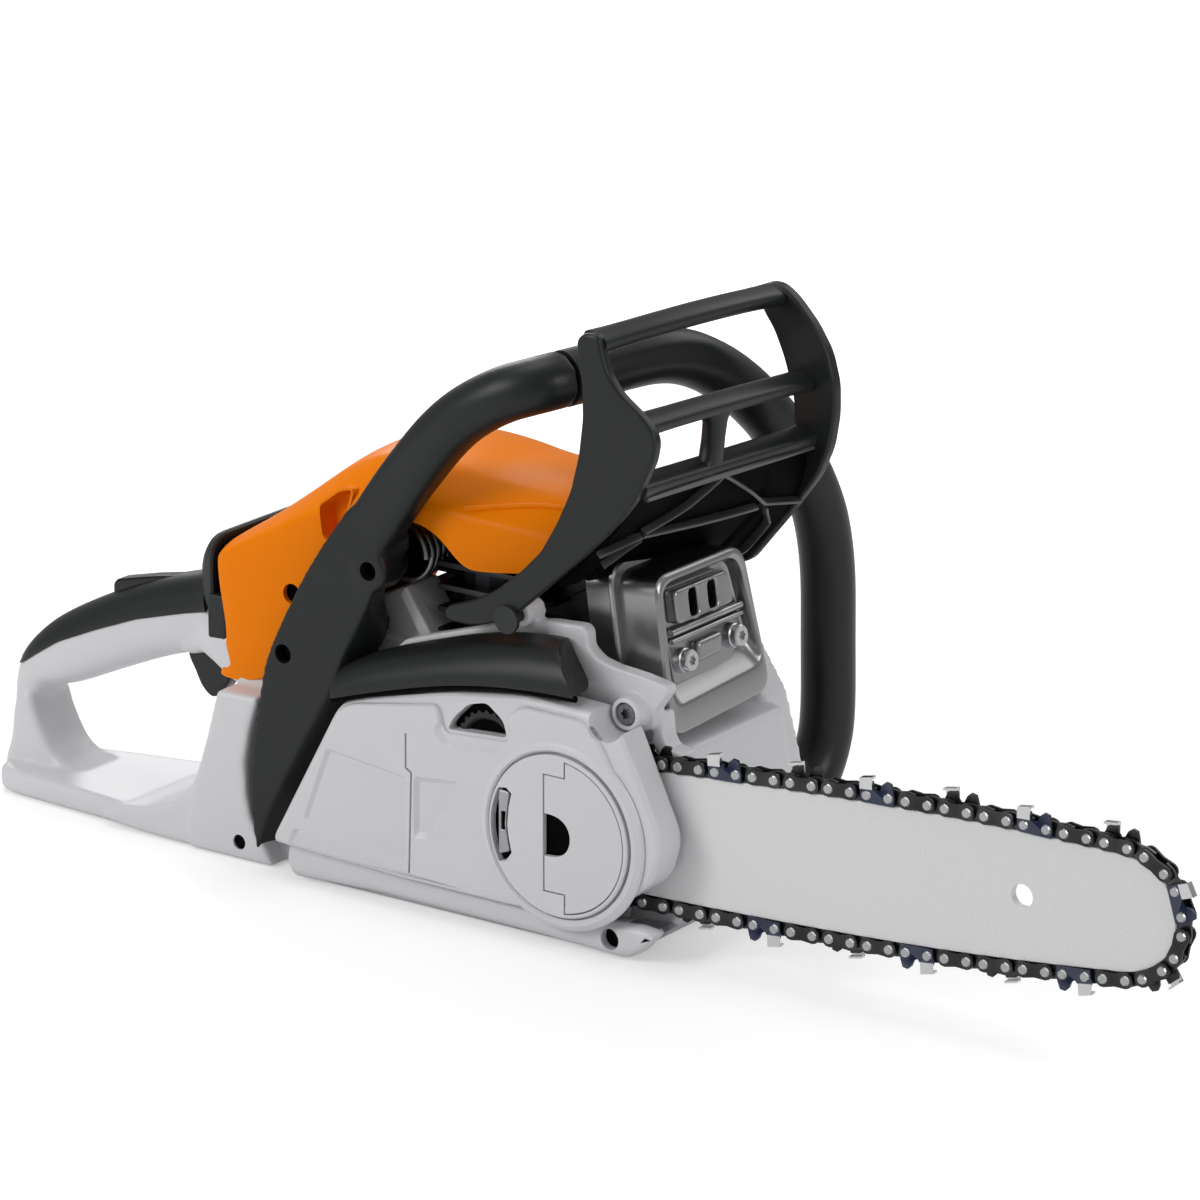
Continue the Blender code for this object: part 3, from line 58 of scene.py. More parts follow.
# ------------------------------------------------------------------ shader groups
def new_group(name, inputs, outputs):
    tree = bpy.data.node_groups.new(name, "ShaderNodeTree")
    for label, kind, value in inputs:
        tree.interface.new_socket(label, in_out="INPUT", socket_type=kind).default_value = value
    for label, kind in outputs:
        tree.interface.new_socket(label, in_out="OUTPUT", socket_type=kind)
    return tree, tree.nodes.new("NodeGroupInput"), tree.nodes.new("NodeGroupOutput")


def math_node(tree, operation, first, second, third=None):
    node = tree.nodes.new("ShaderNodeMath")
    node.operation = operation
    for index, value in enumerate((first, second, third)):
        if value is None:
            continue
        if isinstance(value, (int, float)):
            node.inputs[index].default_value = value
        else:
            tree.links.new(value, node.inputs[index])
    return node.outputs[0]


def noise_node(tree, vector, scale, detail, roughness=0.5):
    node = tree.nodes.new("ShaderNodeTexNoise")
    node.inputs["Detail"].default_value = detail
    node.inputs["Roughness"].default_value = roughness
    tree.links.new(vector, node.inputs["Vector"])
    if isinstance(scale, (int, float)):
        node.inputs["Scale"].default_value = scale
    else:
        tree.links.new(scale, node.inputs["Scale"])
    return node.outputs["Fac"]


def shade_colour(tree, colour, amount):
    """Multiplies a colour by a grey amount."""
    node = tree.nodes.new("ShaderNodeMix")
    node.data_type = "RGBA"
    node.blend_type = "MULTIPLY"
    node.inputs["Factor"].default_value = 1.0
    tree.links.new(colour, node.inputs["A"])
    tree.links.new(amount, node.inputs["B"])
    return node.outputs["Result"]


def build_moulded_grain():
    """Fine texture of a moulding tool with faint clouds of shade and gloss."""
    tree, given, made = new_group("moulded_grain", [("Colour", "NodeSocketColor", (0.5, 0.5, 0.5, 1)),
        ("Shade", "NodeSocketFloat", 0.04), ("Grain Scale", "NodeSocketFloat", 1800.0),
        ("Roughness", "NodeSocketFloat", 0.4), ("Gloss Change", "NodeSocketFloat", 0.08)],
        [("Colour", "NodeSocketColor"), ("Roughness", "NodeSocketFloat"), ("Height", "NodeSocketFloat")])
    place = tree.nodes.new("ShaderNodeTexCoord").outputs["Object"]
    clouds = noise_node(tree, place, 14.0, 3.0)
    grain = noise_node(tree, place, given.outputs["Grain Scale"], 2.0, 0.6)
    centred = math_node(tree, "SUBTRACT", clouds, 0.5)
    speck = math_node(tree, "MULTIPLY_ADD", math_node(tree, "SUBTRACT", grain, 0.5), 0.6, centred)
    shade = math_node(tree, "MULTIPLY_ADD", speck, given.outputs["Shade"], 1.0)
    tree.links.new(shade_colour(tree, given.outputs["Colour"], shade), made.inputs["Colour"])
    rough = math_node(tree, "MULTIPLY_ADD", speck, given.outputs["Gloss Change"], given.outputs["Roughness"])
    tree.links.new(rough, made.inputs["Roughness"])
    tree.links.new(grain, made.inputs["Height"])
    return tree


def build_edge_rub_and_highlight():
    """Mask of the outer edges, broken up, where handling polishes a part and where a highlight is painted along the
    edges.
    """
    tree, given, made = new_group("edge_rub_and_highlight", [("Start", "NodeSocketFloat", 0.52), ("End", "NodeSocketFloat", 0.62),
        ("Strength", "NodeSocketFloat", 0.5)], [("Mask", "NodeSocketFloat")])
    # pointiness picks out the outer edges: rubbed wear and a painted edge highlight
    ridge = tree.nodes.new("ShaderNodeNewGeometry").outputs["Pointiness"]
    place = tree.nodes.new("ShaderNodeTexCoord").outputs["Object"]
    patches = noise_node(tree, place, 55.0, 4.0)
    reach = tree.nodes.new("ShaderNodeMapRange")
    tree.links.new(ridge, reach.inputs["Value"])
    tree.links.new(given.outputs["Start"], reach.inputs["From Min"])
    tree.links.new(given.outputs["End"], reach.inputs["From Max"])
    broken = math_node(tree, "MULTIPLY", reach.outputs["Result"], patches)
    tree.links.new(math_node(tree, "MULTIPLY", broken, given.outputs["Strength"]), made.inputs["Mask"])
    return tree


def build_rolled_metal():
    """Drawn streaks along one direction with a few darker stains."""
    tree, given, made = new_group("rolled_metal", [("Colour", "NodeSocketColor", (0.5, 0.5, 0.5, 1)),
        ("Roughness", "NodeSocketFloat", 0.3), ("Stretch", "NodeSocketVector", (1.0, 1.0, 1.0)),
        ("Streaks", "NodeSocketFloat", 0.12), ("Stains", "NodeSocketFloat", 0.15)],
        [("Colour", "NodeSocketColor"), ("Roughness", "NodeSocketFloat"), ("Height", "NodeSocketFloat")])
    place = tree.nodes.new("ShaderNodeTexCoord").outputs["Object"]
    drawn = tree.nodes.new("ShaderNodeVectorMath")
    drawn.operation = "MULTIPLY"
    tree.links.new(place, drawn.inputs[0])
    tree.links.new(given.outputs["Stretch"], drawn.inputs[1])
    streaks = noise_node(tree, drawn.outputs[0], 900.0, 3.0)
    stains = noise_node(tree, place, 40.0, 5.0)
    lines = math_node(tree, "SUBTRACT", streaks, 0.5)
    spots = math_node(tree, "MULTIPLY", math_node(tree, "SUBTRACT", stains, 0.5), given.outputs["Stains"])
    shade = math_node(tree, "ADD", math_node(tree, "MULTIPLY_ADD", lines, given.outputs["Streaks"], 1.0), spots)
    tree.links.new(shade_colour(tree, given.outputs["Colour"], shade), made.inputs["Colour"])
    rough = math_node(tree, "MULTIPLY_ADD", lines, given.outputs["Streaks"], given.outputs["Roughness"])
    tree.links.new(math_node(tree, "SUBTRACT", rough, spots), made.inputs["Roughness"])
    tree.links.new(streaks, made.inputs["Height"])
    return tree


MOULDED_GRAIN = build_moulded_grain()
EDGE_RUB_AND_HIGHLIGHT = build_edge_rub_and_highlight()
ROLLED_METAL = build_rolled_metal()


# ------------------------------------------------------------------ finishes
def finish(name, slot):
    made = bpy.data.materials.new(name)
    made.use_nodes = True
    made["slot"] = slot
    tree = made.node_tree
    return made, tree, tree.nodes["Principled BSDF"]


def group_node(tree, group, **values):
    node = tree.nodes.new("ShaderNodeGroup")
    node.node_tree = group
    for label, value in values.items():
        node.inputs[label.replace("_", " ")].default_value = value
    return node


def add_bump(tree, shader, height, distance):
    bump = tree.nodes.new("ShaderNodeBump")
    bump.inputs["Distance"].default_value = distance
    bump.inputs["Strength"].default_value = 1.0
    tree.links.new(height, bump.inputs["Height"])
    tree.links.new(bump.outputs["Normal"], shader.inputs["Normal"])


def plastic(name, slot, colour, roughness, grain, depth, shade, rub_and_highlight_colour, rub_and_highlight_strength, coat=0.0, level=0.5):
    """Moulded plastic: fine grain, faint clouds, and rubbed edges that also carry a painted highlight."""
    made, tree, shader = finish(name, slot)
    body = group_node(tree, MOULDED_GRAIN, Colour=(*colour, 1), Shade=shade, Grain_Scale=grain, Roughness=roughness)
    # edges lightened towards the rub colour: wear and a painted highlight
    edges = group_node(tree, EDGE_RUB_AND_HIGHLIGHT, Strength=rub_and_highlight_strength)
    mix = tree.nodes.new("ShaderNodeMix")
    mix.data_type = "RGBA"
    tree.links.new(edges.outputs["Mask"], mix.inputs["Factor"])
    tree.links.new(body.outputs["Colour"], mix.inputs["A"])
    mix.inputs["B"].default_value = (*rub_and_highlight_colour, 1)
    tree.links.new(mix.outputs["Result"], shader.inputs["Base Color"])
    tree.links.new(body.outputs["Roughness"], shader.inputs["Roughness"])
    shader.inputs["Coat Weight"].default_value = coat
    shader.inputs["Coat Roughness"].default_value = 0.12
    shader.inputs["Specular IOR Level"].default_value = level
    add_bump(tree, shader, body.outputs["Height"], depth)
    return made


def metal(name, slot, colour, roughness, stretch, streaks, stains, depth=0.000004):
    """Bare or plated metal with drawn streaks, stains, and brighter edges that are rub and a painted highlight."""
    made, tree, shader = finish(name, slot)
    body = group_node(tree, ROLLED_METAL, Colour=(*colour, 1), Roughness=roughness, Stretch=stretch,
        Streaks=streaks, Stains=stains)
    edges = group_node(tree, EDGE_RUB_AND_HIGHLIGHT, Strength=0.9)
    mix = tree.nodes.new("ShaderNodeMix")
    mix.data_type = "RGBA"
    tree.links.new(edges.outputs["Mask"], mix.inputs["Factor"])
    tree.links.new(body.outputs["Colour"], mix.inputs["A"])
    # lighter colour on the edges: painted highlight and rub
    mix.inputs["B"].default_value = (*[min(0.85, 0.12 + 1.3 * part) for part in colour], 1)
    tree.links.new(mix.outputs["Result"], shader.inputs["Base Color"])
    tree.links.new(body.outputs["Roughness"], shader.inputs["Roughness"])
    shader.inputs["Metallic"].default_value = 1.0
    add_bump(tree, shader, body.outputs["Height"], depth)
    return made


ORANGE = plastic("orange_plastic_gloss", "orange_plastic", (0.93, 0.228, 0.001), 0.36, 1500.0, 0.000006, 0.03,
    (0.98, 0.34, 0.03), 0.2, 0.0, 0.07)
WHITE = plastic("white_plastic_satin", "white_plastic", (0.69, 0.69, 0.71), 0.36, 1700.0, 0.000009, 0.03,
    (0.82, 0.82, 0.83), 0.4)
BLACK = plastic("black_plastic_matte", "black_plastic", (0.0105, 0.012, 0.0125), 0.4, 1600.0, 0.00001, 0.16,
    (0.055, 0.058, 0.06), 0.6, 0.0, 0.38)
# near-black copy of the black plastic: painted shade for holes, gaps, recess floors and the guard web
PAINTED_SHADE_BLACK = plastic("black_plastic_painted_shade", "black_plastic", (0.0015, 0.0015, 0.002), 0.6, 1500.0, 0.00001, 0.2,
    (0.004, 0.004, 0.004), 0.3, 0.0, 0.03)
# lighter copy of the black plastic with strong edge lightening: painted highlight on the guard ribs
LIT_RIB_BLACK = plastic("black_plastic_rib_painted_highlight", "black_plastic", (0.03, 0.032, 0.034), 0.3, 1500.0, 0.00001, 0.1,
    (0.16, 0.165, 0.17), 0.8, 0.0, 0.5)
GLOSSY = plastic("black_plastic_gloss", "gloss_black", (0.006, 0.0065, 0.007), 0.2, 1400.0, 0.000004, 0.12,
    (0.03, 0.03, 0.03), 0.4, 0.1, 0.4)
TUBE = plastic("handle_tube_coating", "tube_grip", (0.010, 0.0112, 0.012), 0.37, 1300.0, 0.00001, 0.18,
    (0.04, 0.04, 0.042), 0.4, 0.0, 0.4)
RUBBER = plastic("rubber_seal", "rubber", (0.014, 0.014, 0.014), 0.72, 1100.0, 0.00003, 0.25, (0.04, 0.04, 0.04),
    0.3)
CORD = plastic("starter_cord_braid", "starter_cord", (0.05, 0.05, 0.055), 0.8, 700.0, 0.0002, 0.5,
    (0.15, 0.15, 0.15), 0.5)
BAR_PAINT = plastic("bar_lacquer", "bar_paint", (0.8, 0.8, 0.81), 0.28, 900.0, 0.000004, 0.03, (0.45, 0.45, 0.46),
    0.6, 0.2)
MUFFLER = metal("muffler_steel_satin", "muffler_steel", (0.35, 0.352, 0.358), 0.3, (0.3, 0.08, 0.3), 0.07, 0.05,
    0.000001)
STEEL = metal("machined_steel", "steel", (0.6, 0.605, 0.615), 0.3, (1, 1, 1), 0.06, 0.08, 0.000001)
SPRING_STEEL = metal("spring_steel", "steel", (0.2, 0.205, 0.215), 0.33, (1, 1, 1), 0.2, 0.25)
DARK_ALLOY = metal("blackened_alloy", "cast_alloy", (0.03, 0.031, 0.034), 0.42, (1, 1, 1), 0.3, 0.3, 0.00002)
ALLOY = metal("cast_alloy_grey", "cast_alloy", (0.45, 0.455, 0.47), 0.46, (1, 1, 1), 0.3, 0.2, 0.00003)
LINK_DARK = metal("chain_link_oxide", "chain_steel", (0.02, 0.02, 0.022), 0.42, (1, 1, 1), 0.35, 0.4)
LINK_BLUE = metal("chain_link_blued", "chain_steel", (0.018, 0.024, 0.055), 0.36, (1, 1, 1), 0.5, 0.5)
LINK_BRIGHT = metal("chain_chrome", "chain_steel", (0.62, 0.63, 0.64), 0.2, (1, 1, 1), 0.15, 0.1)
RIVET = metal("chain_rivet", "chain_steel", (0.42, 0.425, 0.43), 0.3, (1, 1, 1), 0.2, 0.2)
LINK_GREY = metal("chain_drive_grey", "chain_steel", (0.055, 0.056, 0.06), 0.38, (1, 1, 1), 0.3, 0.3)


# ------------------------------------------------------------------ shape tools
def spot(x, y, z):
    """Place given in millimetres."""
    return Vector((x, y, z)) * MM


def rounded(outline, radius, steps=4):
    """Outline with every corner turned into a short arc."""
    made = []
    for i, corner in enumerate(outline):
        here = Vector(corner)
        back = Vector(outline[i - 1]) - here
        ahead = Vector(outline[(i + 1) % len(outline)]) - here
        a = here + back.normalized() * min(radius, back.length * 0.46)
        b = here + ahead.normalized() * min(radius, ahead.length * 0.46)
        for k in range(steps + 1):
            t = k / steps
            made.append(tuple(a * (1 - t) ** 2 + here * 2 * t * (1 - t) + b * t ** 2))
    return made


def flowing(points, steps=5, closed=True):
    """Smooth curve through the points, in two or three dimensions."""
    path = [Vector(point) for point in points]
    if closed:
        ends = [path[-1]] + path + path[:2]
    else:
        ends = [2 * path[0] - path[1]] + path + [2 * path[-1] - path[-2]]
    made = []
    for i in range(1, len(ends) - 2):
        p0, p1, p2, p3 = ends[i - 1:i + 3]
        for step in range(steps):
            t = step / steps
            made.append(0.5 * (2 * p1 + (p2 - p0) * t + (2 * p0 - 5 * p1 + 4 * p2 - p3) * t * t
                               + (3 * p1 - p0 - 3 * p2 + p3) * t ** 3))
    if not closed:
        made.append(path[-1])
    return [tuple(point) for point in made]


def disc(cx, cz, radius, count=32):
    """Round outline."""
    return [(cx + radius * math.cos(2 * math.pi * i / count), cz + radius * math.sin(2 * math.pi * i / count))
        for i in range(count)]


def as_object(name, mesh):
    bmesh.ops.remove_doubles(mesh, verts=mesh.verts, dist=2e-6)
    bmesh.ops.recalc_face_normals(mesh, faces=mesh.faces)
    data = bpy.data.meshes.new(name)
    mesh.to_mesh(data)
    mesh.free()
    obj = bpy.data.objects.new(name, data)
    bpy.context.scene.collection.objects.link(obj)
    return obj


def settle(obj):
    """Turns the modifiers of a piece into its mesh."""
    bpy.context.view_layer.update()
    graph = bpy.context.evaluated_depsgraph_get()
    shape = bpy.data.meshes.new_from_object(obj.evaluated_get(graph))
    obj.modifiers.clear()
    obj.data = shape
    return obj


def dress(obj, look, body, stands_for=(), sharp=32, flat_faces=True):
    """Finish, shading and body of a piece, and the frame nodes it stands for."""
    if not obj.data.materials:
        obj.data.materials.append(look)
    else:
        for index in range(len(obj.data.materials)):
            obj.data.materials[index] = obj.data.materials[index] or look
    obj.data.shade_smooth()
    if sharp:
        obj.data.set_sharp_from_angle(angle=math.radians(sharp))
    if flat_faces:
        weigh = obj.modifiers.new("even_shading", "WEIGHTED_NORMAL")
        weigh.keep_sharp = True
        weigh.weight = 80
        settle(obj)
    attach(obj, body)
    if stands_for:
        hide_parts(*stands_for)
    return obj


def raw_slab(name, outlines, near, far, edge, stand=UPRIGHT):
    """Plate of flat outlines with rolled rims; later outlines are holes."""
    curve = bpy.data.curves.new(name, "CURVE")
    curve.dimensions = "2D"
    curve.fill_mode = "BOTH"
    curve.extrude = (abs(far - near) / 2 - edge) * MM
    curve.bevel_depth = edge * MM
    curve.bevel_resolution = 2
    curve.offset = -edge * MM
    for outline in outlines:
        spline = curve.splines.new("POLY")
        spline.points.add(len(outline) - 1)
        for point, (a, b) in zip(spline.points, outline):
            point.co = (a * MM, b * MM, 0, 1)
        spline.use_cyclic_u = True
    holder = bpy.data.objects.new(name, curve)
    bpy.context.scene.collection.objects.link(holder)
    bpy.context.view_layer.update()
    flat = bpy.data.meshes.new_from_object(holder.evaluated_get(bpy.context.evaluated_depsgraph_get()))
    bpy.data.objects.remove(holder)
    flat.transform(stand @ Matrix.Translation((0, 0, (near + far) / 2 * MM)))
    mesh = bmesh.new()
    mesh.from_mesh(flat)
    return as_object(name, mesh)


def slab(name, outlines, near, far, edge, look, body, stands_for=(), stand=UPRIGHT):
    return dress(raw_slab(name, outlines, near, far, edge, stand), look, body, stands_for)


def raw_turned(name, profile, centre, axis="Y", steps=48):
    """Turned shape; the profile is a list of (distance along the axis, radius)."""
    mesh = bmesh.new()
    along = AXES[axis] if isinstance(axis, str) else Vector(axis).normalized()
    side = along.orthogonal().normalized()
    middle = spot(*centre)
    verts = [mesh.verts.new(middle + along * a * MM + side * r * MM) for a, r in profile]
    edges = [mesh.edges.new(pair) for pair in zip(verts, verts[1:])]
    bmesh.ops.spin(mesh, geom=verts + edges, cent=middle, axis=along, angle=2 * math.pi, steps=steps,
        use_merge=True, use_normal_flip=False, use_duplicate=False, dvec=(0, 0, 0))
    bmesh.ops.remove_doubles(mesh, verts=mesh.verts, dist=2e-6)
    bmesh.ops.holes_fill(mesh, edges=[edge for edge in mesh.edges if edge.is_boundary], sides=0)
    return as_object(name, mesh)


def turned(name, profile, centre, look, body, steps=48):
    return dress(raw_turned(name, profile, centre, "Y", steps), look, body, (), 28)


def raw_skin(name, rings):
    """Closed surface stretched over matching rings of points in millimetres."""
    mesh = bmesh.new()
    loops = []
    for ring in rings:
        verts = [mesh.verts.new(spot(*point)) for point in ring]
        loops.append([mesh.edges.new((verts[i - 1], verts[i])) for i in range(len(verts))])
    for first, second in zip(loops, loops[1:]):
        bmesh.ops.bridge_loops(mesh, edges=first + second)
    bmesh.ops.holes_fill(mesh, edges=[edge for edge in mesh.edges if edge.is_boundary], sides=0)
    return as_object(name, mesh)


def skin(name, rings, look, body, stands_for=(), sharp=40):
    return dress(raw_skin(name, rings), look, body, stands_for, sharp)


def subdivide(obj, levels):
    modifier = obj.modifiers.new("rounding", "SUBSURF")
    modifier.levels = levels
    modifier.render_levels = levels
    return settle(obj)


def raw_pipe(name, points, radius, sides=5):
    curve = bpy.data.curves.new(name, "CURVE")
    curve.dimensions = "3D"
    curve.bevel_depth = radius * MM
    curve.bevel_resolution = sides
    curve.use_fill_caps = True
    spline = curve.splines.new("POLY")
    spline.points.add(len(points) - 1)
    for point, (x, y, z) in zip(spline.points, points):
        point.co = (x * MM, y * MM, z * MM, 1)
    holder = bpy.data.objects.new(name, curve)
    bpy.context.scene.collection.objects.link(holder)
    bpy.context.view_layer.update()
    round_mesh = bpy.data.meshes.new_from_object(holder.evaluated_get(bpy.context.evaluated_depsgraph_get()))
    bpy.data.objects.remove(holder)
    mesh = bmesh.new()
    mesh.from_mesh(round_mesh)
    return as_object(name, mesh)


def pipe(name, points, radius, look, body, stands_for=(), sides=5):
    return dress(raw_pipe(name, points, radius, sides), look, body, stands_for, 40)


def block(name, low, high, edge, look, body):
    """Box with rolled edges."""
    mesh = bmesh.new()
    low, high = spot(*low), spot(*high)
    size = high - low
    bmesh.ops.create_cube(mesh, size=1.0, matrix=Matrix.Translation((low + high) / 2) @ Matrix.Diagonal((*size, 1)))
    bmesh.ops.bevel(mesh, geom=mesh.edges[:], offset=edge * MM, segments=3, affect="EDGES", profile=0.5,
        material=-1)
    return dress(as_object(name, mesh), look, body)


def gather(name, objs):
    """One object of several overlapping closed shapes."""
    mesh = bmesh.new()
    for obj in objs:
        mesh.from_mesh(obj.data)
        bpy.data.objects.remove(obj)
    data = bpy.data.meshes.new(name)
    mesh.to_mesh(data)
    mesh.free()
    made = bpy.data.objects.new(name, data)
    bpy.context.scene.collection.objects.link(made)
    return made


def melt(name, objs, voxel, rounds):
    """Casts overlapping shapes into one skin with soft inner corners."""
    made = gather(name, objs)
    modifier = made.modifiers.new("cast", "REMESH")
    modifier.mode = "VOXEL"
    modifier.voxel_size = voxel * MM
    settle(made)
    mesh = bmesh.new()
    mesh.from_mesh(made.data)
    for _ in range(rounds):
        bmesh.ops.smooth_vert(mesh, verts=mesh.verts, factor=0.5, use_axis_x=True, use_axis_y=True, use_axis_z=True)
    mesh.to_mesh(made.data)
    mesh.free()
    return made


def carve(obj, *cutters):
    """Takes closed shapes out of a piece."""
    for cutter in cutters:
        modifier = obj.modifiers.new("cut", "BOOLEAN")
        modifier.operation = "DIFFERENCE"
        modifier.solver = "EXACT"
        modifier.object = cutter
        settle(obj)
        bpy.data.objects.remove(cutter)
    return obj


def node_copy(node, name):
    """Merged copy of a frame node, to be softened."""
    mesh = bmesh.new()
    mesh.from_mesh(nodes[node].data)
    bmesh.ops.remove_doubles(mesh, verts=mesh.verts, dist=1e-6)
    bmesh.ops.dissolve_limit(mesh, angle_limit=math.radians(1), verts=mesh.verts, edges=mesh.edges)
    return as_object(name, mesh)


def softened(node, width, look, body):
    """The frame node with its sharp edges rolled."""
    obj = node_copy(node, node + "_shell")
    bevel = obj.modifiers.new("rolled_edges", "BEVEL")
    bevel.width = width * MM
    bevel.segments = 3
    bevel.limit_method = "ANGLE"
    bevel.angle_limit = math.radians(28)
    bevel.harden_normals = False
    settle(obj)
    return dress(obj, look, body, (node,), 40)


def section(centre, across, up, wide, tall, power=2.4, count=28, start=0.0, sweep=2 * math.pi, closed=True):
    """Points of a squared-off oval; part of it when sweep is less than a full turn."""
    made = []
    last = count if closed else count - 1
    for k in range(count):
        angle = start + sweep * k / last
        c, s = math.cos(angle), math.sin(angle)
        a = math.copysign(abs(c) ** (2 / power), c) * wide
        b = math.copysign(abs(s) ** (2 / power), s) * tall
        made.append(tuple(Vector(centre) + Vector(across) * a + Vector(up) * b))
    return made


# ------------------------------------------------------------------ rear handle
GRIP_PATH = [(-240, 6), (-244, 22), (-246, 38), (-240, 54), (-224, 64.5), (-198, 77.5), (-168, 90), (-134, 100)]
GRIP_SIZES = [(19, 13), (13.5, 9), (12.5, 8), (14, 11), (16, 15.5), (17, 17), (17, 17.5), (18, 18)]
PARTING = [(-262, 50), (-243, 58), (-237, 62), (-221, 72), (-198, 82), (-175, 91), (-147, 99), (-126, 104)]


def grip_stations(steps):
    """Centre, upward direction, half width and half height along the grip."""
    path = flowing(GRIP_PATH, steps, False)
    sizes = flowing(GRIP_SIZES, steps, False)
    made = []
    for i, (x, z) in enumerate(path):
        ahead = Vector(path[min(i + 1, len(path) - 1)]) - Vector(path[max(i - 1, 0)])
        ahead.normalize()
        made.append((Vector((x, GRIP_Y, z)), Vector((-ahead.y, 0, ahead.x)), *sizes[i]))
    return made


def parting_height(centre, up):
    """Distance from the middle of the grip to the parting line, along the upward direction."""
    for (x0, z0), (x1, z1) in zip(PARTING, PARTING[1:]):
        dx, dz = x1 - x0, z1 - z0
        det = up.x * -dz + dx * up.z
        if abs(det) < 1e-9:
            continue
        rx, rz = x0 - centre.x, z0 - centre.z
        reach = (rx * -dz + dx * rz) / det
        share = (up.x * rz - up.z * rx) / det
        if 0 <= share <= 1 and -25 < reach < 25:
            return reach
    return None


def rear_handle():
    """White tank unit: base, column and lower half of the grip in one casting."""
    base = raw_slab("base", [rounded([(-253, -38), (-250, -46), (-240, -50), (-180, -54), (-140, -58), (-106, -60),
        (-106, 30), (-170, 14), (-240, -2), (-250, -7), (-254.5, -20)], 7)], 0.4, 11.5, 2.6, LYING)
    outer = raw_slab("outer", [[(-131, 8), (-130, 22), (-125.5, 36), (-119.5, 54), (-113.5, 75.4), (-91, 76),
        (-96, 61), (-99, 46), (-98.4, 30), (-96, 20), (-84, 0.4), (-130, 0.4)]], -59.6, -45, 1.2)
    inner = raw_slab("inner", [[(-131, 8), (-130, 24), (-125, 38), (-119, 56), (-113, 75), (-100, 77), (-81, 74),
        (-81, 0.4), (-130, 0.4)]], -47, 50, 1.2)
    ramp = raw_slab("ramp", [flowing([(-178, 3), (-172, 11), (-156, 13.5), (-142, 18.5), (-131, 27), (-121, 44),
        (-112, 30), (-112, 3)])], -58, -6, 1.5)
    heel = raw_slab("heel", [flowing([(-252, 4), (-251, 24), (-248, 40), (-240, 44), (-235, 32), (-226, 18),
        (-210, 11), (-206, 4)])], -37, -8, 3)
    grip = raw_skin("grip", [section(c, (0, 1, 0), up, wide - 0.4, tall - 0.4)
        for c, up, wide, tall in grip_stations(4)])
    neck = raw_skin("neck", [section((x, y, z), (0, 1, 0), (0, 0, 1), wide, tall, 3.2, 24)
        for x, y, z, wide, tall in ((-150, -22, 88, 15, 11), (-140, -22, 91.5, 17, 11.5),
        (-130, -22, 90, 20.5, 13.5), (-121, -21, 85.5, 23, 14), (-112, -19, 80, 25.5, 11), (-104, -18, 76, 26, 8))])
    ledge = raw_slab("ledge", [[(-113, 70), (-112, 78.5), (-97, 80.5), (-88, 78), (-88, 70)]], -44, 40, 1)
    shell = melt("rear_handle_shell", [base, outer, inner, ramp, heel, grip, neck, ledge], 1.25, 5)
    hole = raw_turned("hole", [(-66, 3.4), (-54, 3.4), (-50, 3.0)], (-102, 0, 8.6), steps=28)
    filler = raw_turned("filler", [(45, 12.5), (60, 12.5)], (-99, 0, 40), steps=32)
    dress(carve(shell, hole, filler), WHITE, "saw", ("rear_handle",), 60, False)
    # near-black disc inside the vent hole: painted shade
    turned("vent_hole_painted_shade", [(-58.6, 3.35), (-50.5, 3.35), (-50.5, 0)], (-102, 0, 8.6), PAINTED_SHADE_BLACK, "saw",
        steps=28)


def grip_top():
    """Black upper half of the grip, from the parting line over the top."""
    rings = []
    for centre, up, wide, tall in grip_stations(6):
        reach = parting_height(centre, up)
        if reach is None or reach > 0.985 * tall:
            continue
        share = max(-0.9, min(0.985, reach / tall))
        start = math.asin(math.copysign(abs(share) ** 1.2, share))
        rings.append(section(centre, (0, 1, 0), up, wide, tall, 2.4, 24, start, math.pi - 2 * start, False))
    cap = raw_skin("grip_top", rings)
    dress(cap, BLACK, "saw", ("handle_moulding",), 45, False)


def collar():
    """Flange between the grip and the top cover, with a near-black block that paints the shade of the gap in front
    of it.
    """
    rings = []
    for x, w, z0, z1, r in ((-139, 33, 104, 127, 12), (-138.6, 36, 103, 130, 13), (-137, 38.6, 101, 133, 14),
            (-134, 40.8, 98, 136, 14), (-129.5, 42.2, 95, 137.6, 14), (-128.6, 41.4, 95.5, 136.8, 13.4)):
        rings.append([(x, y, z) for y, z in rounded([(-w, z0), (-w, z1), (w, z1), (w, z0)], r, 6)])
    skin("collar_flange", rings, BLACK, "saw", sharp=30)
    # near-black block filling the gap: painted shade
    gap = []
    for x, w in ((-129.4, 39), (-118, 40)):
        gap.append([(x, y, z) for y, z in rounded([(-w, 90), (-w, 134), (w, 134), (w, 90)], 12, 6)])
    skin("collar_gap_painted_shade", gap, PAINTED_SHADE_BLACK, "saw", sharp=30)
    block("collar_step", (-131, -43, 92), (-121, -36, 112), 1.2, BLACK, "saw")


def trigger_and_lock():
    """Trigger blade under the grip and the lock lever over it."""
    outline = flowing([(-138, 84), (-131.6, 82.6), (-130.6, 76), (-132.4, 69), (-136.4, 62.6), (-142.6, 58),
        (-148.4, 61.6), (-152.4, 68.6), (-156, 76), (-153, 82)], 4)
    slab("throttle_trigger_blade", [outline], GRIP_Y - 4.2, GRIP_Y + 4.2, 1.4, GLOSSY, "throttle_trigger",
        ("throttle_trigger",))
    lever = [(-195, 86), (-197.4, 92), (-197.6, 100.4), (-195.6, 102.8), (-176.7, 107.4), (-162.5, 110.2),
        (-150, 111.8), (-142.6, 112.5), (-142, 98), (-150, 95), (-165, 94), (-185, 88)]
    slab("throttle_interlock_lever", [rounded(lever, 1.2)], GRIP_Y - 4.4, GRIP_Y + 4.4, 1.1, GLOSSY,
        "throttle_interlock", ("throttle_interlock",))


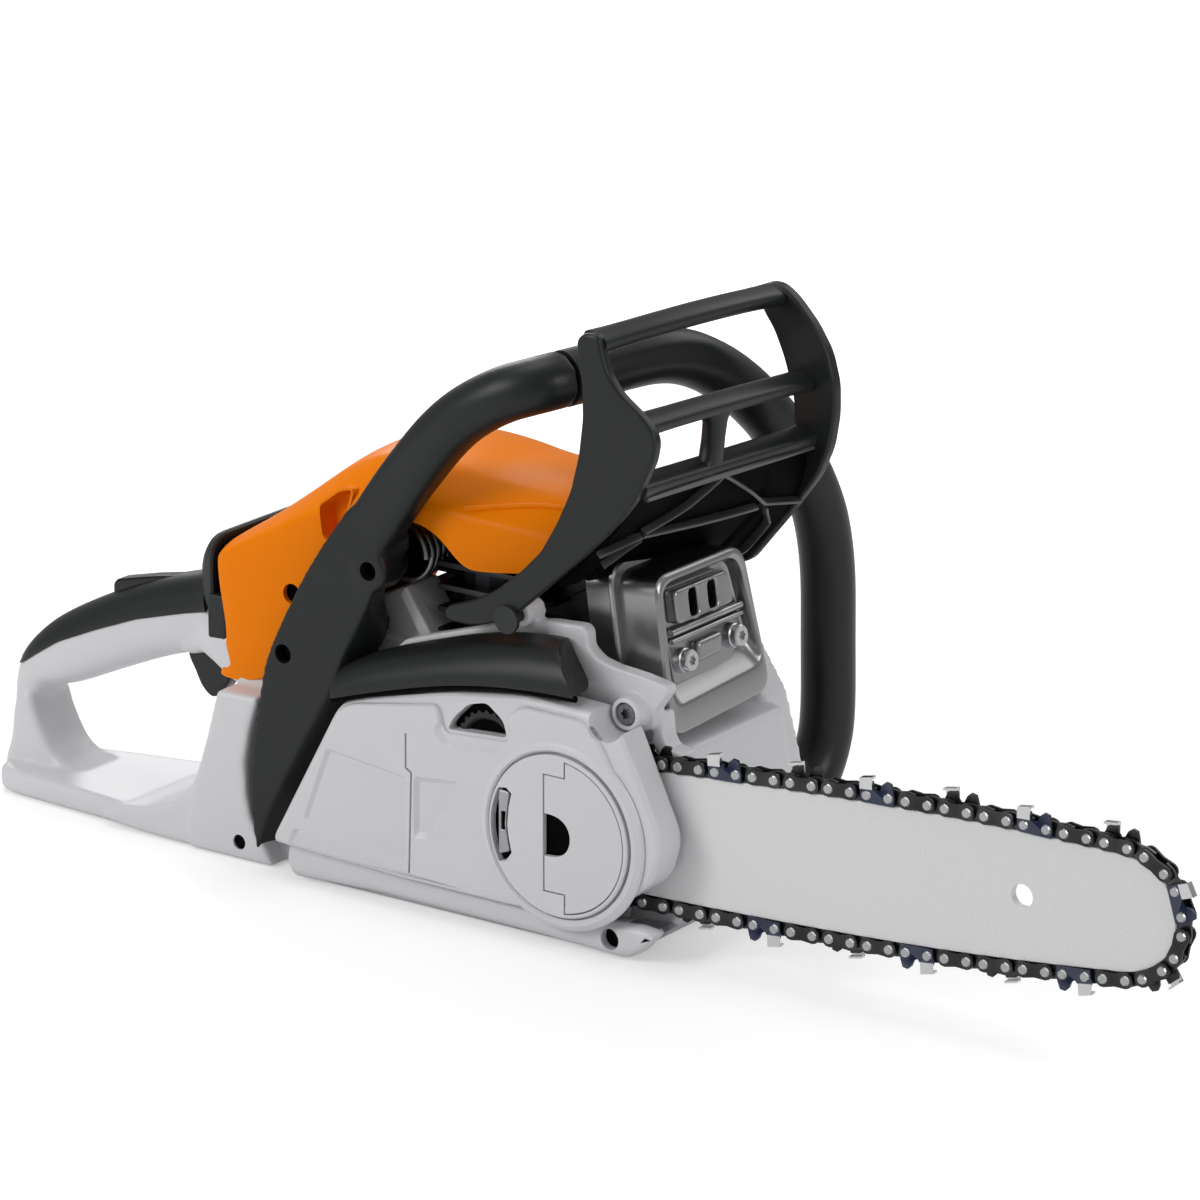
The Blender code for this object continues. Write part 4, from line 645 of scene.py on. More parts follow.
# ------------------------------------------------------------------ top cover
COVER = [(-126, 77, 129, 42.5, 133, 34, 134.5), (-123, 76, 131, 44, 136, 34, 138),
    (-113, 76, 136.5, 45, 142, 33, 144), (-104, 78, 141.5, 45.4, 147.5, 32, 150.5),
    (-93, 82, 147, 45.6, 155, 31, 159), (-82, 94, 153.5, 45.6, 163, 30, 167),
    (-72, 110, 158.5, 45.4, 170.5, 29, 174.8), (-62, 128, 163, 45, 177.4, 28, 181.8),
    (-50, 146, 168.5, 44.6, 183.5, 27, 187.6), (-38, 160, 171.5, 44.4, 186.5, 27, 190),
    (-22, 165, 173.5, 44, 187, 27, 190.5), (-8, 161.5, 173, 44, 185.8, 27, 189.6),
    (0, 155, 172, 44, 184.8, 27, 188.4), (8, 147, 170, 43.6, 183.4, 27, 187.4),
    (18, 147.5, 169.5, 43, 182.4, 27, 187), (31, 149, 169, 42, 181.8, 27, 186.8),
    (44, 151, 168, 40.6, 181.2, 27, 186.4), (54, 153, 166, 39, 180, 27, 185.4), (58, 156, 164, 37.5, 178, 26, 183)]


def cover_point(x):
    """Height of the roof at a place along the cover."""
    for (x0, *a), (x1, *b) in zip(COVER, COVER[1:]):
        if x0 <= x <= x1:
            t = (x - x0) / (x1 - x0)
            return [p + (q - p) * t for p, q in zip(a, b)]
    return COVER[-1][1:]


def top_cover():
    """Orange cover with its shoulder crease, roof and lower rim."""
    mesh = bmesh.new()
    loops = []
    for x, low, crease, wide, high, narrow, top in COVER:
        half = [(-wide + 0.6, low), (-wide - 0.2, low + (crease - low) * 0.33),
            (-wide - 0.2, low + (crease - low) * 0.7), (-wide, crease - 1.6), (-wide + 1.2, crease + 0.8),
            (-(wide + narrow) / 2, (crease + high) / 2 + 0.8), (-narrow, high),
            (-narrow * 0.62, (high + top) / 2 + 0.9), (0, top)]
        ring = half + [(-y, z) for y, z in half[-2::-1]]
        step = max(0.0, (-113 - x) / 13)
        ahead = [0.6 * step, 6.5 * step, 1.6 * step] + [0] * (len(ring) - 6) + [1.6 * step, 6.5 * step, 0.6 * step]
        verts = [mesh.verts.new(spot(x + push, y, z)) for push, (y, z) in zip(ahead, ring)]
        loops.append(verts)
    for first, second in zip(loops, loops[1:]):
        for quad in zip(first, first[1:], second[1:], second):
            mesh.faces.new(quad)
    bmesh.ops.recalc_face_normals(mesh, faces=mesh.faces)
    sharpness = mesh.edges.layers.float.new("crease_edge")
    for i in range(len(COVER)):
        x, low, crease, wide, high, narrow, top = COVER[i]
        for edge in mesh.edges:
            ends = [vert.co / MM for vert in edge.verts]
            if abs(ends[0].x - ends[1].x) < 1:
                continue
            start = min(ends, key=lambda end: end.x)
            if abs(start.x - x) > 0.01:
                continue
            if abs(abs(start.y) - (wide - 1.2)) < 0.05:
                edge[sharpness] = 0.75
            if abs(abs(start.y) - narrow) < 0.05:
                edge[sharpness] = 0.6
    rear = [mesh.edges.get(pair) for pair in zip(loops[0], loops[0][1:])]
    grown = bmesh.ops.extrude_edge_only(mesh, edges=rear)
    moved = [item for item in grown["geom"] if isinstance(item, bmesh.types.BMVert)]
    for vert in moved:
        vert.co.x += 0.8 * MM
        vert.co.y *= 0.93
        vert.co.z -= (vert.co.z - 0.1) * 0.07
    shell = as_object("top_cover_shell", mesh)
    subdivide(shell, 2)
    thick = shell.modifiers.new("wall", "SOLIDIFY")
    thick.thickness = 2.4 * MM
    thick.offset = -1
    settle(shell)
    outline = [(-67.4, 162.6), (-65, 149), (-60.7, 147.6), (-56, 152), (-49.6, 172.6), (-56, 171)]
    mouth = raw_slab("mouth", [rounded(outline, 2.4)], -52, -37, 0.02)
    hole = raw_turned("hole", [(-60, 4.6), (-30, 4.6)], (-82, 0, 121), steps=28)
    slot = raw_slab("slot", [rounded([(-83.6, 121), (-80.6, 112.6), (-78.6, 113.4), (-79.6, 121)], 0.6)], -60, -38,
        0.02)
    carve(shell, mouth, hole, slot)
    dress(shell, ORANGE, "saw", ("top_cover",), 38, False)
    tray = raw_skin("cover_pocket", [[(x - dx, y, z - dz) for x, z in rounded(outline, 2.4)]
        for y, dx, dz in ((-44.6, 0, 0), (-37, -1, 0.6), (-36, -1.6, 1.2))])
    rim = bmesh.new()
    rim.from_mesh(tray.data)
    bmesh.ops.delete(rim, geom=[face for face in rim.faces if all(v.co.y < -0.0445 for v in face.verts)],
        context="FACES_ONLY")
    rim.to_mesh(tray.data)
    rim.free()
    wall = tray.modifiers.new("wall", "SOLIDIFY")
    wall.thickness = 1.2 * MM
    wall.offset = 1
    settle(tray)
    dress(tray, ORANGE, "saw", (), 38, False)
    # near-black disc inside the choke hole: painted shade
    turned("choke_hole_painted_shade", [(-42.2, 4.7), (-36, 4.7), (-36, 0)], (-82, 0, 121), PAINTED_SHADE_BLACK, "saw", steps=28)
    rib = []
    for x, y in ((7, -41), (14, -38.6), (24, -35.6), (38, -32), (54, -29)):
        base = cover_point(x)
        share = (base[2] + y) / max(1e-6, base[2] - base[4])
        rib.append((x, y, base[1] + (base[3] - base[1]) * max(0, min(1, share)) + 0.6))
    pipe("cover_rib", flowing(rib, 6, False), 1.1, ORANGE, "saw")


# ------------------------------------------------------------------ arm, tube and spring
ARM_FRONT = [(-92.5, 8), (-95.5, 29), (-94.5, 48), (-90.5, 72), (-86.6, 91), (-81.4, 104), (-73.3, 119.8),
    (-64.4, 135.6), (-55, 150), (-46, 162), (-37.5, 171), (-27, 164), (-24, 153), (-25, 143), (-27.5, 134),
    (-36, 118.6), (-44.8, 101.4), (-52.5, 84), (-73.5, 48), (-86, 23), (-90, 11)]
ARM_BACK = [(-93, 7), (-96.5, 29), (-95.5, 48), (-91.5, 72), (-87.4, 91), (-82, 104), (-74, 119.8), (-65, 135.6),
    (-55.5, 150), (-46, 163), (-36, 172), (-21, 163), (-17, 153), (-28, 142), (-31, 131), (-29, 114), (-38, 98),
    (-45, 84), (-67, 48), (-81, 23), (-88, 11)]
ELBOW_STATIONS = [(-45, -53, 141, 10.5, 6.6, 5), (-35.5, -53, 155, 11.6, 6.9, 4.6), (-26, -53, 168.8, 12, 7.4, 4),
    (-16, -53, 182.5, 12, 8.4, 3.4), (-6, -53, 195, 12, 9.8, 2.9), (3.5, -53, 206, 12, 11, 2.5),
    (13.5, -53, 215.5, 12, 11.8, 2.2), (24.5, -52.8, 223.3, 12, 12, 2), (36, -51.3, 229.6, 12, 12, 2),
    (45, -48, 233, 12, 12, 2), (50.2, -42.8, 234.6, 12, 12, 2), (52.6, -35.4, 235, 12, 12, 2)]
TUBE_JOINT = Vector((53, -34, 235))
TUBE_COURSE = Vector((0.26, 0.96, 0.03))
RUN_PATH = [(60.4, -3, 236.4), (64, 14.5, 236), (67, 30, 232.8), (70, 43.6, 227), (72.8, 57.3, 218.4),
    (75.8, 71, 207), (78.8, 85, 192.4), (81.9, 99.1, 172.3), (84, 108.7, 154), (85, 113.6, 138),
    (85.6, 116.2, 118), (85.7, 116.8, 90), (85.8, 117, 60), (85.3, 115, 44), (85, 107, 30.5), (85, 92, 22),
    (85, 76, 20), (85, 62, 20)]


def elbow_rings():
    """Sections of the arm as it turns from a flat plate into the round tube."""
    stations = flowing(ELBOW_STATIONS, 3, False)
    centres = [Vector(station[:3]) for station in stations]
    across = Vector((0, 1, 0))
    rings = []
    for i, centre in enumerate(centres):
        course = (centres[min(i + 1, len(centres) - 1)] - centres[max(i - 1, 0)]).normalized()
        across = (across - course * across.dot(course)).normalized()
        wide, deep, power = stations[i][3:]
        rings.append(section(centre, course.cross(across), across, wide, deep, power, 32))
    return rings


def handle_arm():
    """Flat arm that turns into the round front handle, with the spring lug."""
    plate = raw_skin("plate", [[(x, y, z) for x, z in flowing(outline, 4)]
        for y, outline in ((-60, ARM_FRONT), (-46, ARM_BACK))])
    elbow = raw_skin("elbow", elbow_rings())
    lug = raw_turned("lug", [(-60.6, 7.6), (-59.6, 9), (-47, 9.2), (-46, 8.4)], (-29.5, 0, 143.8), steps=40)
    rod = raw_turned("rod", [(-50, 6.4), (-38.5, 6.4)], (-29.8, 0, 143.6), steps=28)
    arm = melt("handle_arm_shell", [plate, elbow, lug, rod], 1.2, 3)
    first = raw_turned("first", [(-64, 4.3), (-54, 4.3)], (-76, 0, 99), steps=28)
    second = raw_turned("second", [(-64, 4.2), (-53, 4.2)], (-29.5, 0, 144), steps=28)
    dress(carve(arm, first, second), BLACK, "saw", ("handle_arm",), 60, False)
    # near-black discs in the screw holes: painted shade in the recesses
    turned("arm_screw_lower", [(-56, 4.2), (-56, 2.2), (-54.4, 2.2), (-54.4, 0)], (-76, 0, 99), PAINTED_SHADE_BLACK, "saw",
        steps=28)
    turned("arm_screw_upper", [(-55.6, 4.1), (-55.6, 2), (-54, 2), (-54, 0)], (-29.5, 0, 144), PAINTED_SHADE_BLACK, "saw",
        steps=28)


def front_handle():
    """Round tube from the arm over the top and down the left side."""
    start = [tuple(TUBE_JOINT + TUBE_COURSE * s) for s in (0, 1.5, 8, 16)]
    pipe("front_handle_tube", start + flowing(RUN_PATH, 4, False), 12, TUBE, "saw", ("front_handle",), 10)


def av_spring():
    """Coil between the arm and the engine, with its cup and core."""
    wire = []
    turns = 6
    for i in range(turns * 28 + 1):
        angle = 2 * math.pi * i / 28
        share = i / (turns * 28)
        reach = 11.8 - 1.6 * share
        wire.append((-28 + reach * math.cos(angle), -37 + 26 * share, 146 + 2 * share + reach * math.sin(angle)))
    pipe("front_av_coil", wire, 1.7, SPRING_STEEL, "saw", ("front_av_spring",), 3)
    turned("spring_cup", [(-13.5, 0), (-13.5, 8.5), (-11.6, 11.5), (-11, 11.5), (-11, 0)], (-28.5, 0, 147.5), BLACK,
        "saw")
    # near-black core inside the coil: painted shade
    turned("spring_core", [(-40, 0), (-40, 6.2), (-24, 5.6), (-24, 0)], (-28.8, 0, 145.5), PAINTED_SHADE_BLACK, "saw",
        steps=32)


# ------------------------------------------------------------------ hand guard
BLADE = [(79.6, 262), (84, 265.4), (90.8, 265), (92, 258), (95.3, 249), (101.3, 241.6), (111.2, 234.8),
    (117.2, 229.1), (119.1, 224.3), (117.6, 216), (113, 206.5), (108.4, 197.6), (101.6, 188.8), (93.2, 179.9),
    (84, 171), (71.2, 159.6), (58, 148), (48.6, 139.8), (40, 134.5), (26.1, 130.4), (14.5, 130.4), (11.6, 133),
    (12.8, 137), (26.2, 141.5), (37.7, 147.8), (50.9, 158.4), (61.1, 168.6), (69.3, 182.2), (76.3, 197),
    (80.4, 212.9), (82.4, 228.5), (82.2, 243.6), (80, 253.3)]
FAR_BLADE = [(84, 255), (86, 260.5), (94, 261), (101.5, 256), (111.2, 245.8), (118.4, 234.8), (122.2, 221.5),
    (122.4, 207.7), (119.9, 193.3), (114.1, 180.1), (102.1, 164), (90, 149.6), (79.8, 137.1), (62, 131), (52, 128),
    (40, 128), (37, 140), (46, 146), (72, 152), (88, 166), (98, 180), (102, 196), (101.5, 213), (96.3, 229.6),
    (91.1, 241), (85, 249)]


def guard_bar(name, near, far, sizes, bow):
    """Rounded bar between the two blades that bows forward a little."""
    rings = []
    for k in range(13):
        t = k / 12
        arch = bow * math.sin(math.pi * t)
        centre = Vector(near).lerp(Vector(far), t) + Vector((arch, 0, 0.6 * arch))
        grow = 1 + 0.12 * abs(2 * t - 1) ** 6
        rings.append(section(centre, (0.94, 0, -0.34), (0.34, 0, 0.94), sizes[0] * grow, sizes[1] * grow, 3.2, 20))
    return raw_skin(name, rings)


WEB_DEPTH = 0.78
WEB_NEAR = [(108, 199), (103, 190), (96, 181.5), (87, 173), (76, 162), (64, 150), (50, 139)]
WEB_FAR = [(110, 194), (108, 180), (102, 166), (95, 157), (86, 147), (76, 140), (60, 134)]


def web_point(down, across):
    """Point on the front of the guard's web, from its top edge down and from right to left."""
    place = down * 6
    i = min(int(place), 5)
    near = Vector(WEB_NEAR[i]).lerp(Vector(WEB_NEAR[i + 1]), place - i)
    far = Vector(WEB_FAR[i]).lerp(Vector(WEB_FAR[i + 1]), place - i)
    x, z = near.lerp(far, across)
    return Vector((x, -58 + 124 * across, z))


def web_foot(across):
    """How far down the tilting web reaches: less above the muffler."""
    return 0.45 - 0.283 * across if 0.12 < across < 0.78 else WEB_DEPTH


def sheet(name, rows, body):
    """Black sheet through rows of front points, in the near-black copy of the plastic that paints shade."""
    skin(name, [[tuple(p) for p in row] + [tuple(p + Vector((-3.2, 0, 0.6))) for p in row[::-1]] for row in rows],
        PAINTED_SHADE_BLACK, body)


def hand_guard():
    """Guard: two blades, three bars, a strut and a ribbed web."""
    near = raw_slab("guard_blade_right", [rounded(BLADE, 3, 4)], -62.4, -57, 1.4)
    far = raw_slab("guard_blade_left", [rounded(FAR_BLADE, 4, 4)], 63.6, 70, 1.6)
    dress(near, BLACK, "hand_guard", ("hand_guard",))
    dress(far, BLACK, "hand_guard")
    bars = [guard_bar("guard_top_bar", (86.5, -59, 261), (91, 66, 255.6), (5.4, 3.6), 5),
        guard_bar("guard_middle_bar", (106.5, -58, 228.6), (106, 66, 220.5), (5.6, 3.1), 3),
        guard_bar("guard_lower_bar", (106, -58, 203), (108, 66, 197.5), (5.6, 3.0), -1)]
    strut = raw_skin("guard_strut", [section((x, y, z), (0, 1, 0), (1, 0, 0), wide, 4.2, 3, 20)
        for x, y, z, wide in ((106.5, -9, 197, 14), (106.6, -6.5, 200.4, 8), (107, -5, 204, 5.6),
        (107.6, -4.4, 212, 5), (108.2, -4, 219, 5.6), (108.4, -3.6, 223.6, 8.6), (108.6, -3.4, 225.6, 11))])
    for bar in bars + [strut]:
        dress(bar, BLACK, "hand_guard", (), 50, False)
    # web and muffler shroud in the near-black copy, darker than the blades: painted shade
    sheet("guard_web", [[web_point(web_foot(across) * k / 12, across) for across in (0, 0.1, 0.14, 0.25, 0.37, 0.5,
        0.62, 0.7, 0.76, 0.8, 0.9, 1)] for k in range(13)], "hand_guard")
    sheet("muffler_shroud", [[web_point(web_foot(across) + 0.012 + (WEB_DEPTH - web_foot(across) - 0.012) * k / 12,
        across) for across in (0.15, 0.25, 0.37, 0.5, 0.62, 0.7, 0.75)] for k in range(13)], "saw")
    ribs = [((0, 0.46), (0.27, 0.77), 1.5), ((0.27, 0.77), (0.3, 0.99), 1.5), ((0, 0.46), (0.33, 0.14), 1.2),
        ((0.29, 0.74), (0.37, 0.15), 1.6), ((0.3, 0.79), (0.45, 0.88), 1.4), ((0.45, 0.88), (0.75, 0.9), 1.4),
        ((0.37, 0.15), (0.52, 0.01), 1.6), ((0.4, 0.16), (0.62, 0.1), 1.4), ((0, 0.02), (0, 0.99), 1.6)]
    for index, (start, end, half) in enumerate(ribs):
        rings = []
        for k in range(9):
            t = k / 8
            here = web_point(start[0] + (end[0] - start[0]) * t, start[1] + (end[1] - start[1]) * t)
            course = (web_point(*end) - web_point(*start)).normalized()
            out = Vector((0.86, 0, -0.5))
            out = (out - course * out.dot(course)).normalized()
            rings.append(section(here, course.cross(out), out, half * 0.62, 3.4, 4, 12))
        # ribs in the lighter copy of the black plastic: painted highlight
        dress(raw_skin(f"guard_rib_{index}", rings), LIT_RIB_BLACK, "hand_guard", (), 50, False)


# ------------------------------------------------------------------ clutch side
COVER_OUTLINE = [(-78, 16), (-40, 85), (-32, 90), (18, 102), (59, 108), (98, 106.5), (106, 103), (112, 90),
    (128, 56), (123, 38), (100, 22), (78, 15), (51, 14.5), (-4, 15), (-65, 17)]


def dent(name, outline, depth, slope):
    """Cutter for a recess in the cover's face, with sloping sides."""
    middle = Vector((sum(p[0] for p in outline), sum(p[1] for p in outline))) / len(outline)
    rings = []
    for y, inset in ((-73, -slope * 0.7), (-72, 0), (-72 + depth, slope)):
        ring = []
        for point in rounded(outline, 2.0, 3):
            away = Vector(point) - middle
            x, z = middle + away * (1 - inset / max(8.0, away.length))
            ring.append((x, y, z))
        rings.append(ring)
    return raw_skin(name, rings)


def clutch_cover():
    """White side cover: body, raised face, recessed panels, seams, disc seat and adjuster window."""
    body = raw_slab("clutch_cover_body", [rounded(COVER_OUTLINE, 7, 5)], -69.6, -52.4, 3.2)
    window = [(18.6, 86), (49.6, 88), (47.6, 95), (39, 101.4), (29.6, 99), (22, 92)]
    bosses = [raw_turned("boss", [(-80, 8.4), (-40, 8.4)], (99.4, 0, 104), steps=32) for _ in range(2)]
    carve(body, raw_slab("window", [rounded(window, 2.4)], -80, -64, 0.2),
        raw_turned("seat", [(-80, 36.4), (-69, 36.4)], STUD_AXIS, steps=72), bosses[0])
    dress(body, WHITE, "saw", ("clutch_cover",), 30)
    panel = [(-74, 18.4), (-37.5, 85), (-30, 88.6), (15, 96.6), (17.6, 84.4), (51.4, 86.6), (50, 98), (58, 104),
        (88, 103.4), (96, 98), (110, 74), (116, 52), (110, 33), (97, 22), (80, 16.6), (50, 15.4), (-4, 15.6),
        (-64, 17.6)]
    face = raw_slab("clutch_cover_face", [rounded(panel, 4, 4)], -72, -66.5, 2.0)
    seams = [groove(a, b, 0.5) for a, b in (((-1.7, 65.5), (-1.6, 81)), ((-1.7, 65.6), (1.2, 64)),
        ((1.2, 64.2), (-0.4, 19)))]
    label = [(-44, 66.5), (-1.2, 61.6), (-1.2, 23.6), (-57, 31.6)]
    window_dish = [(12.6, 84.4), (19, 78.4), (47, 80.6), (54.6, 92), (46, 100.5), (20, 98)]
    dents = [dent("label", label, 1.3, 2.2), dent("pane", [(2.4, 63), (26, 65), (20, 51), (9, 35.4), (2.2, 35.4)],
        1.6, 3.0), dent("dish", window_dish, 1.5, 2.6), dent("foot", [(-62, 27), (-4, 18.8), (28, 17.6), (-30, 17),
        (-66, 18.6)], 1.2, 2.0)]
    carve(face, raw_turned("seat", [(-80, 36.4), (-60, 36.4)], STUD_AXIS, steps=72), bosses[1],
        raw_slab("window", [rounded(window, 2.4)], -80, -60, 0.2), *dents, *seams)
    dress(face, WHITE, "saw", (), 20)
    turned("disc_seat_ring", [(-66.6, 36.3), (-72.4, 36.3), (-73.2, 37.2), (-73, 38.8), (-71.4, 41), (-70, 41.6)],
        STUD_AXIS, WHITE, "saw", steps=96)
    # near-black floors of the disc seat and the window: painted shade in the recesses
    turned("disc_seat_floor", [(-69.4, 36.3), (-69.4, 12), (-66, 12)], STUD_AXIS, PAINTED_SHADE_BLACK, "saw", steps=64)
    slab("window_floor", [rounded([(19, 86.4), (49.2, 88.4), (47.2, 94.6), (38.8, 101), (29.8, 98.6), (22.4, 91.6)],
        2.4)], -65.4, -64, 0.3, PAINTED_SHADE_BLACK, "saw")


def groove(start, end, width):
    """Thin wedge that cuts a seam into the cover's face."""
    a, b = Vector(start), Vector(end)
    side = (b - a).normalized().orthogonal() * width
    return raw_slab("groove", [[tuple(a - side), tuple(b - side), tuple(b + side), tuple(a + side)]], -74, -69.8,
        0.02)


def half_disc(radius, x_from):
    """Arc of the clamping nut, right of a straight edge."""
    count = 40
    reach = math.acos((x_from - STUD[0]) / radius)
    return [(STUD[0] + radius * math.cos(reach * (1 - 2 * i / count)),
        STUD[1] + radius * math.sin(reach * (1 - 2 * i / count))) for i in range(count + 1)]


def stepped_half(radius, fold, step, high, low):
    """Half disc whose straight edge steps back near both ends, where its hinges are."""
    return half_disc(radius, step) + [(step, low), (fold, low), (fold, high), (step, high)]


def clamp_nut():
    """Round clamping nut with its fold-out wing, hinges and finger recess."""
    round_disc = raw_turned("wing_nut_round", [(-69.6, 0), (-69.6, 34.9), (-73.4, 35.2), (-74, 34.6), (-74, 0)],
        STUD_AXIS, steps=96)
    recess = raw_slab("recess", [stepped_half(33.6, 70.8, 81.4, 78, 26.4)], -80, -71.3, 0.02)
    rim = [(78 + 34 * math.cos(math.radians(a)), 51.5 + 34 * math.sin(math.radians(a))) for a in range(152, 211, 3)]
    slot = rim + [(52, 36), (54.8, 40), (53.4, 46), (52.6, 52), (53.4, 60), (54.8, 66), (52, 68)]
    finger = raw_slab("finger", [slot], -80, -70.8, 0.02)
    dress(carve(round_disc, recess, finger), WHITE, "wing_nut", ("wing_nut_disc",), 26)
    inner = [(78 + 33.4 * math.cos(math.radians(a)), 51.5 + 33.4 * math.sin(math.radians(a)))
        for a in range(152, 211, 3)]
    # near-black floor of the finger recess: painted shade
    slab("finger_floor", [inner + [(52, 36.6), (54.2, 40), (53, 46), (52.2, 52), (53, 60), (54.2, 66), (52, 67.4)]],
        -71.4, -70.6, 0.1, PAINTED_SHADE_BLACK, "wing_nut")
    tab = [rounded([(47.6, 38), (47.6, 66.4), (53.2, 66), (52.2, 60), (51.4, 52), (52.2, 45), (53.2, 40)], 1.2),
        rounded([(48.9, 49), (51, 49), (51, 57), (48.9, 57)], 0.4)]
    slab("finger_tab", tab, -73.4, -71.3, 0.5, ALLOY, "wing_nut")
    flap = raw_slab("flap", [stepped_half(33.0, 71.5, 82, 77.4, 27)], -73.95, -71.8, 0.3)
    opening = raw_slab("opening", [[(70, 42.4)] + [(71.6 + 13 * math.sin(math.pi * k / 20) ** 0.7,
        51.5 - 9.3 * math.cos(math.pi * k / 20)) for k in range(21)] + [(70, 60.6)]], -80, -70, 0.02)
    dress(carve(flap, opening), WHITE, "wing_flap", ("wing_nut_flap",), 26)
    # near-black core seen through the flap opening: painted shade
    turned("nut_core", [(-71.36, 0), (-71.36, 13), (-71.2, 13)], STUD_AXIS, PAINTED_SHADE_BLACK, "wing_nut", steps=40)
    for name, low, high in (("high", 77.8, 83.6), ("low", 20.8, 26.6)):
        block("hinge_" + name, (79.6, -73.6, low), (81.4, -72.2, high), 0.3, ALLOY, "wing_nut")


def adjuster_wheel():
    """Toothed wheel behind the window of the side cover."""
    teeth = []
    for i in range(96):
        radius = 15.8 if i % 4 < 2 else 14.7
        teeth.append((37 + radius * math.cos(2 * math.pi * i / 96), 81 + radius * math.sin(2 * math.pi * i / 96)))
    wheel = raw_slab("adjuster_wheel", [teeth], -66.3, -61, 0.3)
    dish = raw_turned("dish", [(-70, 12.6), (-66, 12.6), (-65, 11), (-64.6, 0)], (37, 0, 81), steps=48)
    dress(carve(wheel, dish), GLOSSY, "chain_adjuster", ("chain_adjuster",), 24)
    turned("adjuster_hub", [(-66.2, 0), (-66.2, 4.6), (-65.6, 5.2), (-64, 5.4)], (37, 0, 81), GLOSSY,
        "chain_adjuster", steps=32)


BRAKE_LOW = [(-42, 88), (-31, 91.5), (-17.7, 95.6), (0, 100.6), (15.4, 104.6), (32, 107.8), (48, 110), (62, 111),
    (69.5, 111.4), (76, 111.6), (80, 111.7), (83, 111.8), (84.6, 111.9)]
BRAKE_TOP = [(-44, 100), (-31, 107), (-19.3, 111.4), (-7, 115.6), (5, 119.2), (16, 122.8), (27, 125.6), (38, 128),
    (46.5, 129.3), (55, 130.2), (61, 130.6), (65.4, 130.9), (67.6, 130.6)]


def brake_shell():
    """Black housing of the chain brake, one smooth curved shell with a facet at its front end."""
    rings = []
    for (xb, low), (xt, top) in zip(BRAKE_LOW, BRAKE_TOP):
        def at(share, y, rise):
            return (xb + (xt - xb) * share, y, low + (top - low) * rise)
        rings.append([at(0, -71.6, -0.01), at(0, -71.9, 0.08), at(0.2, -71.3, 0.34), at(0.45, -69, 0.62),
            at(0.7, -64.8, 0.84), at(0.9, -59.5, 0.96), at(1, -54, 1), at(1, -50.4, 0.98), at(1, -50, 0.9),
            at(0.6, -50, 0.3), at(0.4, -50, 0.02), at(0.2, -56, -0.03), at(0.1, -66, -0.03)])
    made = raw_skin("brake_housing_shell", rings)
    crease_ends(made, 0.8)
    subdivide(made, 2)
    dress(made, BLACK, "saw", ("brake_housing",), 44, False)
    # near-black line under the shell's lower edge: painted shade in the joint
    seam = [(x, -69.6, low - 0.5) for x, low in BRAKE_LOW]
    pipe("brake_seam", flowing(seam, 3, False), 1.4, PAINTED_SHADE_BLACK, "saw")


def crease_ends(obj, sharpness):
    """Keeps the rim of the end caps crisp when the surface is rounded."""
    mesh = bmesh.new()
    mesh.from_mesh(obj.data)
    layer = mesh.edges.layers.float.new("crease_edge")
    for face in mesh.faces:
        if len(face.verts) > 4:
            for edge in face.edges:
                edge[layer] = sharpness
    mesh.to_mesh(obj.data)
    mesh.free()


def front_bracket():
    """Cast bracket that ties the brake, the muffler side and the housing together."""
    foot = raw_slab("foot", [rounded([(52, 88.5), (66, 88.5), (108, 85), (111, 96), (98, 110), (60, 112)], 3)], -43,
        -37, 1.2)
    upper = raw_slab("upper", [rounded([(-38, 88), (-33, 100), (-19, 113), (-5.4, 117.6), (14, 123.6),
        (29.8, 128.6), (40.6, 131.6), (55.7, 134.6), (72.9, 135.6), (75.4, 133.5), (76, 126.7), (80.8, 122.7),
        (88.9, 120.8), (101.8, 119.7), (116, 117.4), (116.6, 114.6), (110, 105.3), (109, 98), (97, 92), (70, 91)],
        1.6)], -49, -42, 0.9)
    boss = raw_turned("boss", [(-55.6, 6.6), (-55, 7.2), (-46, 7.4)], (99.4, 0, 104), steps=36)
    lug = raw_turned("lug", [(-55, 5.5), (-43, 5.5)], (45, 0, 137), steps=32)
    flange = raw_slab("flange", [rounded([(106, 103), (111, 104), (112, 94), (114.5, 89.6), (123, 88.6),
        (123, 85.6), (111, 85.4), (106, 90)], 1.6)], -46, -36, 1)
    cast = melt("front_bracket_cast", [foot, upper, boss, lug, flange], 0.8, 1)
    socket = raw_turned("socket", [(-60, 5.2), (-52, 5.2)], (99.4, 0, 104), steps=32)
    dress(carve(cast, socket), WHITE, "saw", ("front_bracket",), 60, False)
    socket_screw("bracket_screw", (99.4, 104), -54.9, 4.7)


def socket_screw(name, place, y, radius):
    """Cap screw on the right side with a six-lobed drive."""
    x, z = place
    head = raw_turned(name, [(y + 4, 0), (y + 4, radius), (y + 0.5, radius), (y, radius - 0.5), (y, 0)], (x, 0, z),
        steps=40)
    lobes = []
    for i in range(48):
        reach = radius * (0.47 + 0.07 * math.cos(6 * 2 * math.pi * i / 48))
        lobes.append((x + reach * math.cos(2 * math.pi * i / 48), z + reach * math.sin(2 * math.pi * i / 48)))
    dress(carve(head, raw_slab("drive", [lobes], y - 2, y + 2, 0.02)), SPRING_STEEL, "saw", (), 28)


# ------------------------------------------------------------------ bar and chain
BAR_REACH = 362.4
BAR_TILT = math.radians(3.2)
CHAIN_LINKS = 44
STRAP = 10.4


def bar_frame(along, up):
    """Place on the bar: distance back from its nose, and height over its middle line."""
    nose = (BAR_REACH, CRANK[1] - 5.5 + BAR_REACH * math.sin(BAR_TILT))
    c, s = math.cos(BAR_TILT), math.sin(BAR_TILT)
    return (nose[0] - along * c - up * s, nose[1] - along * s + up * c)


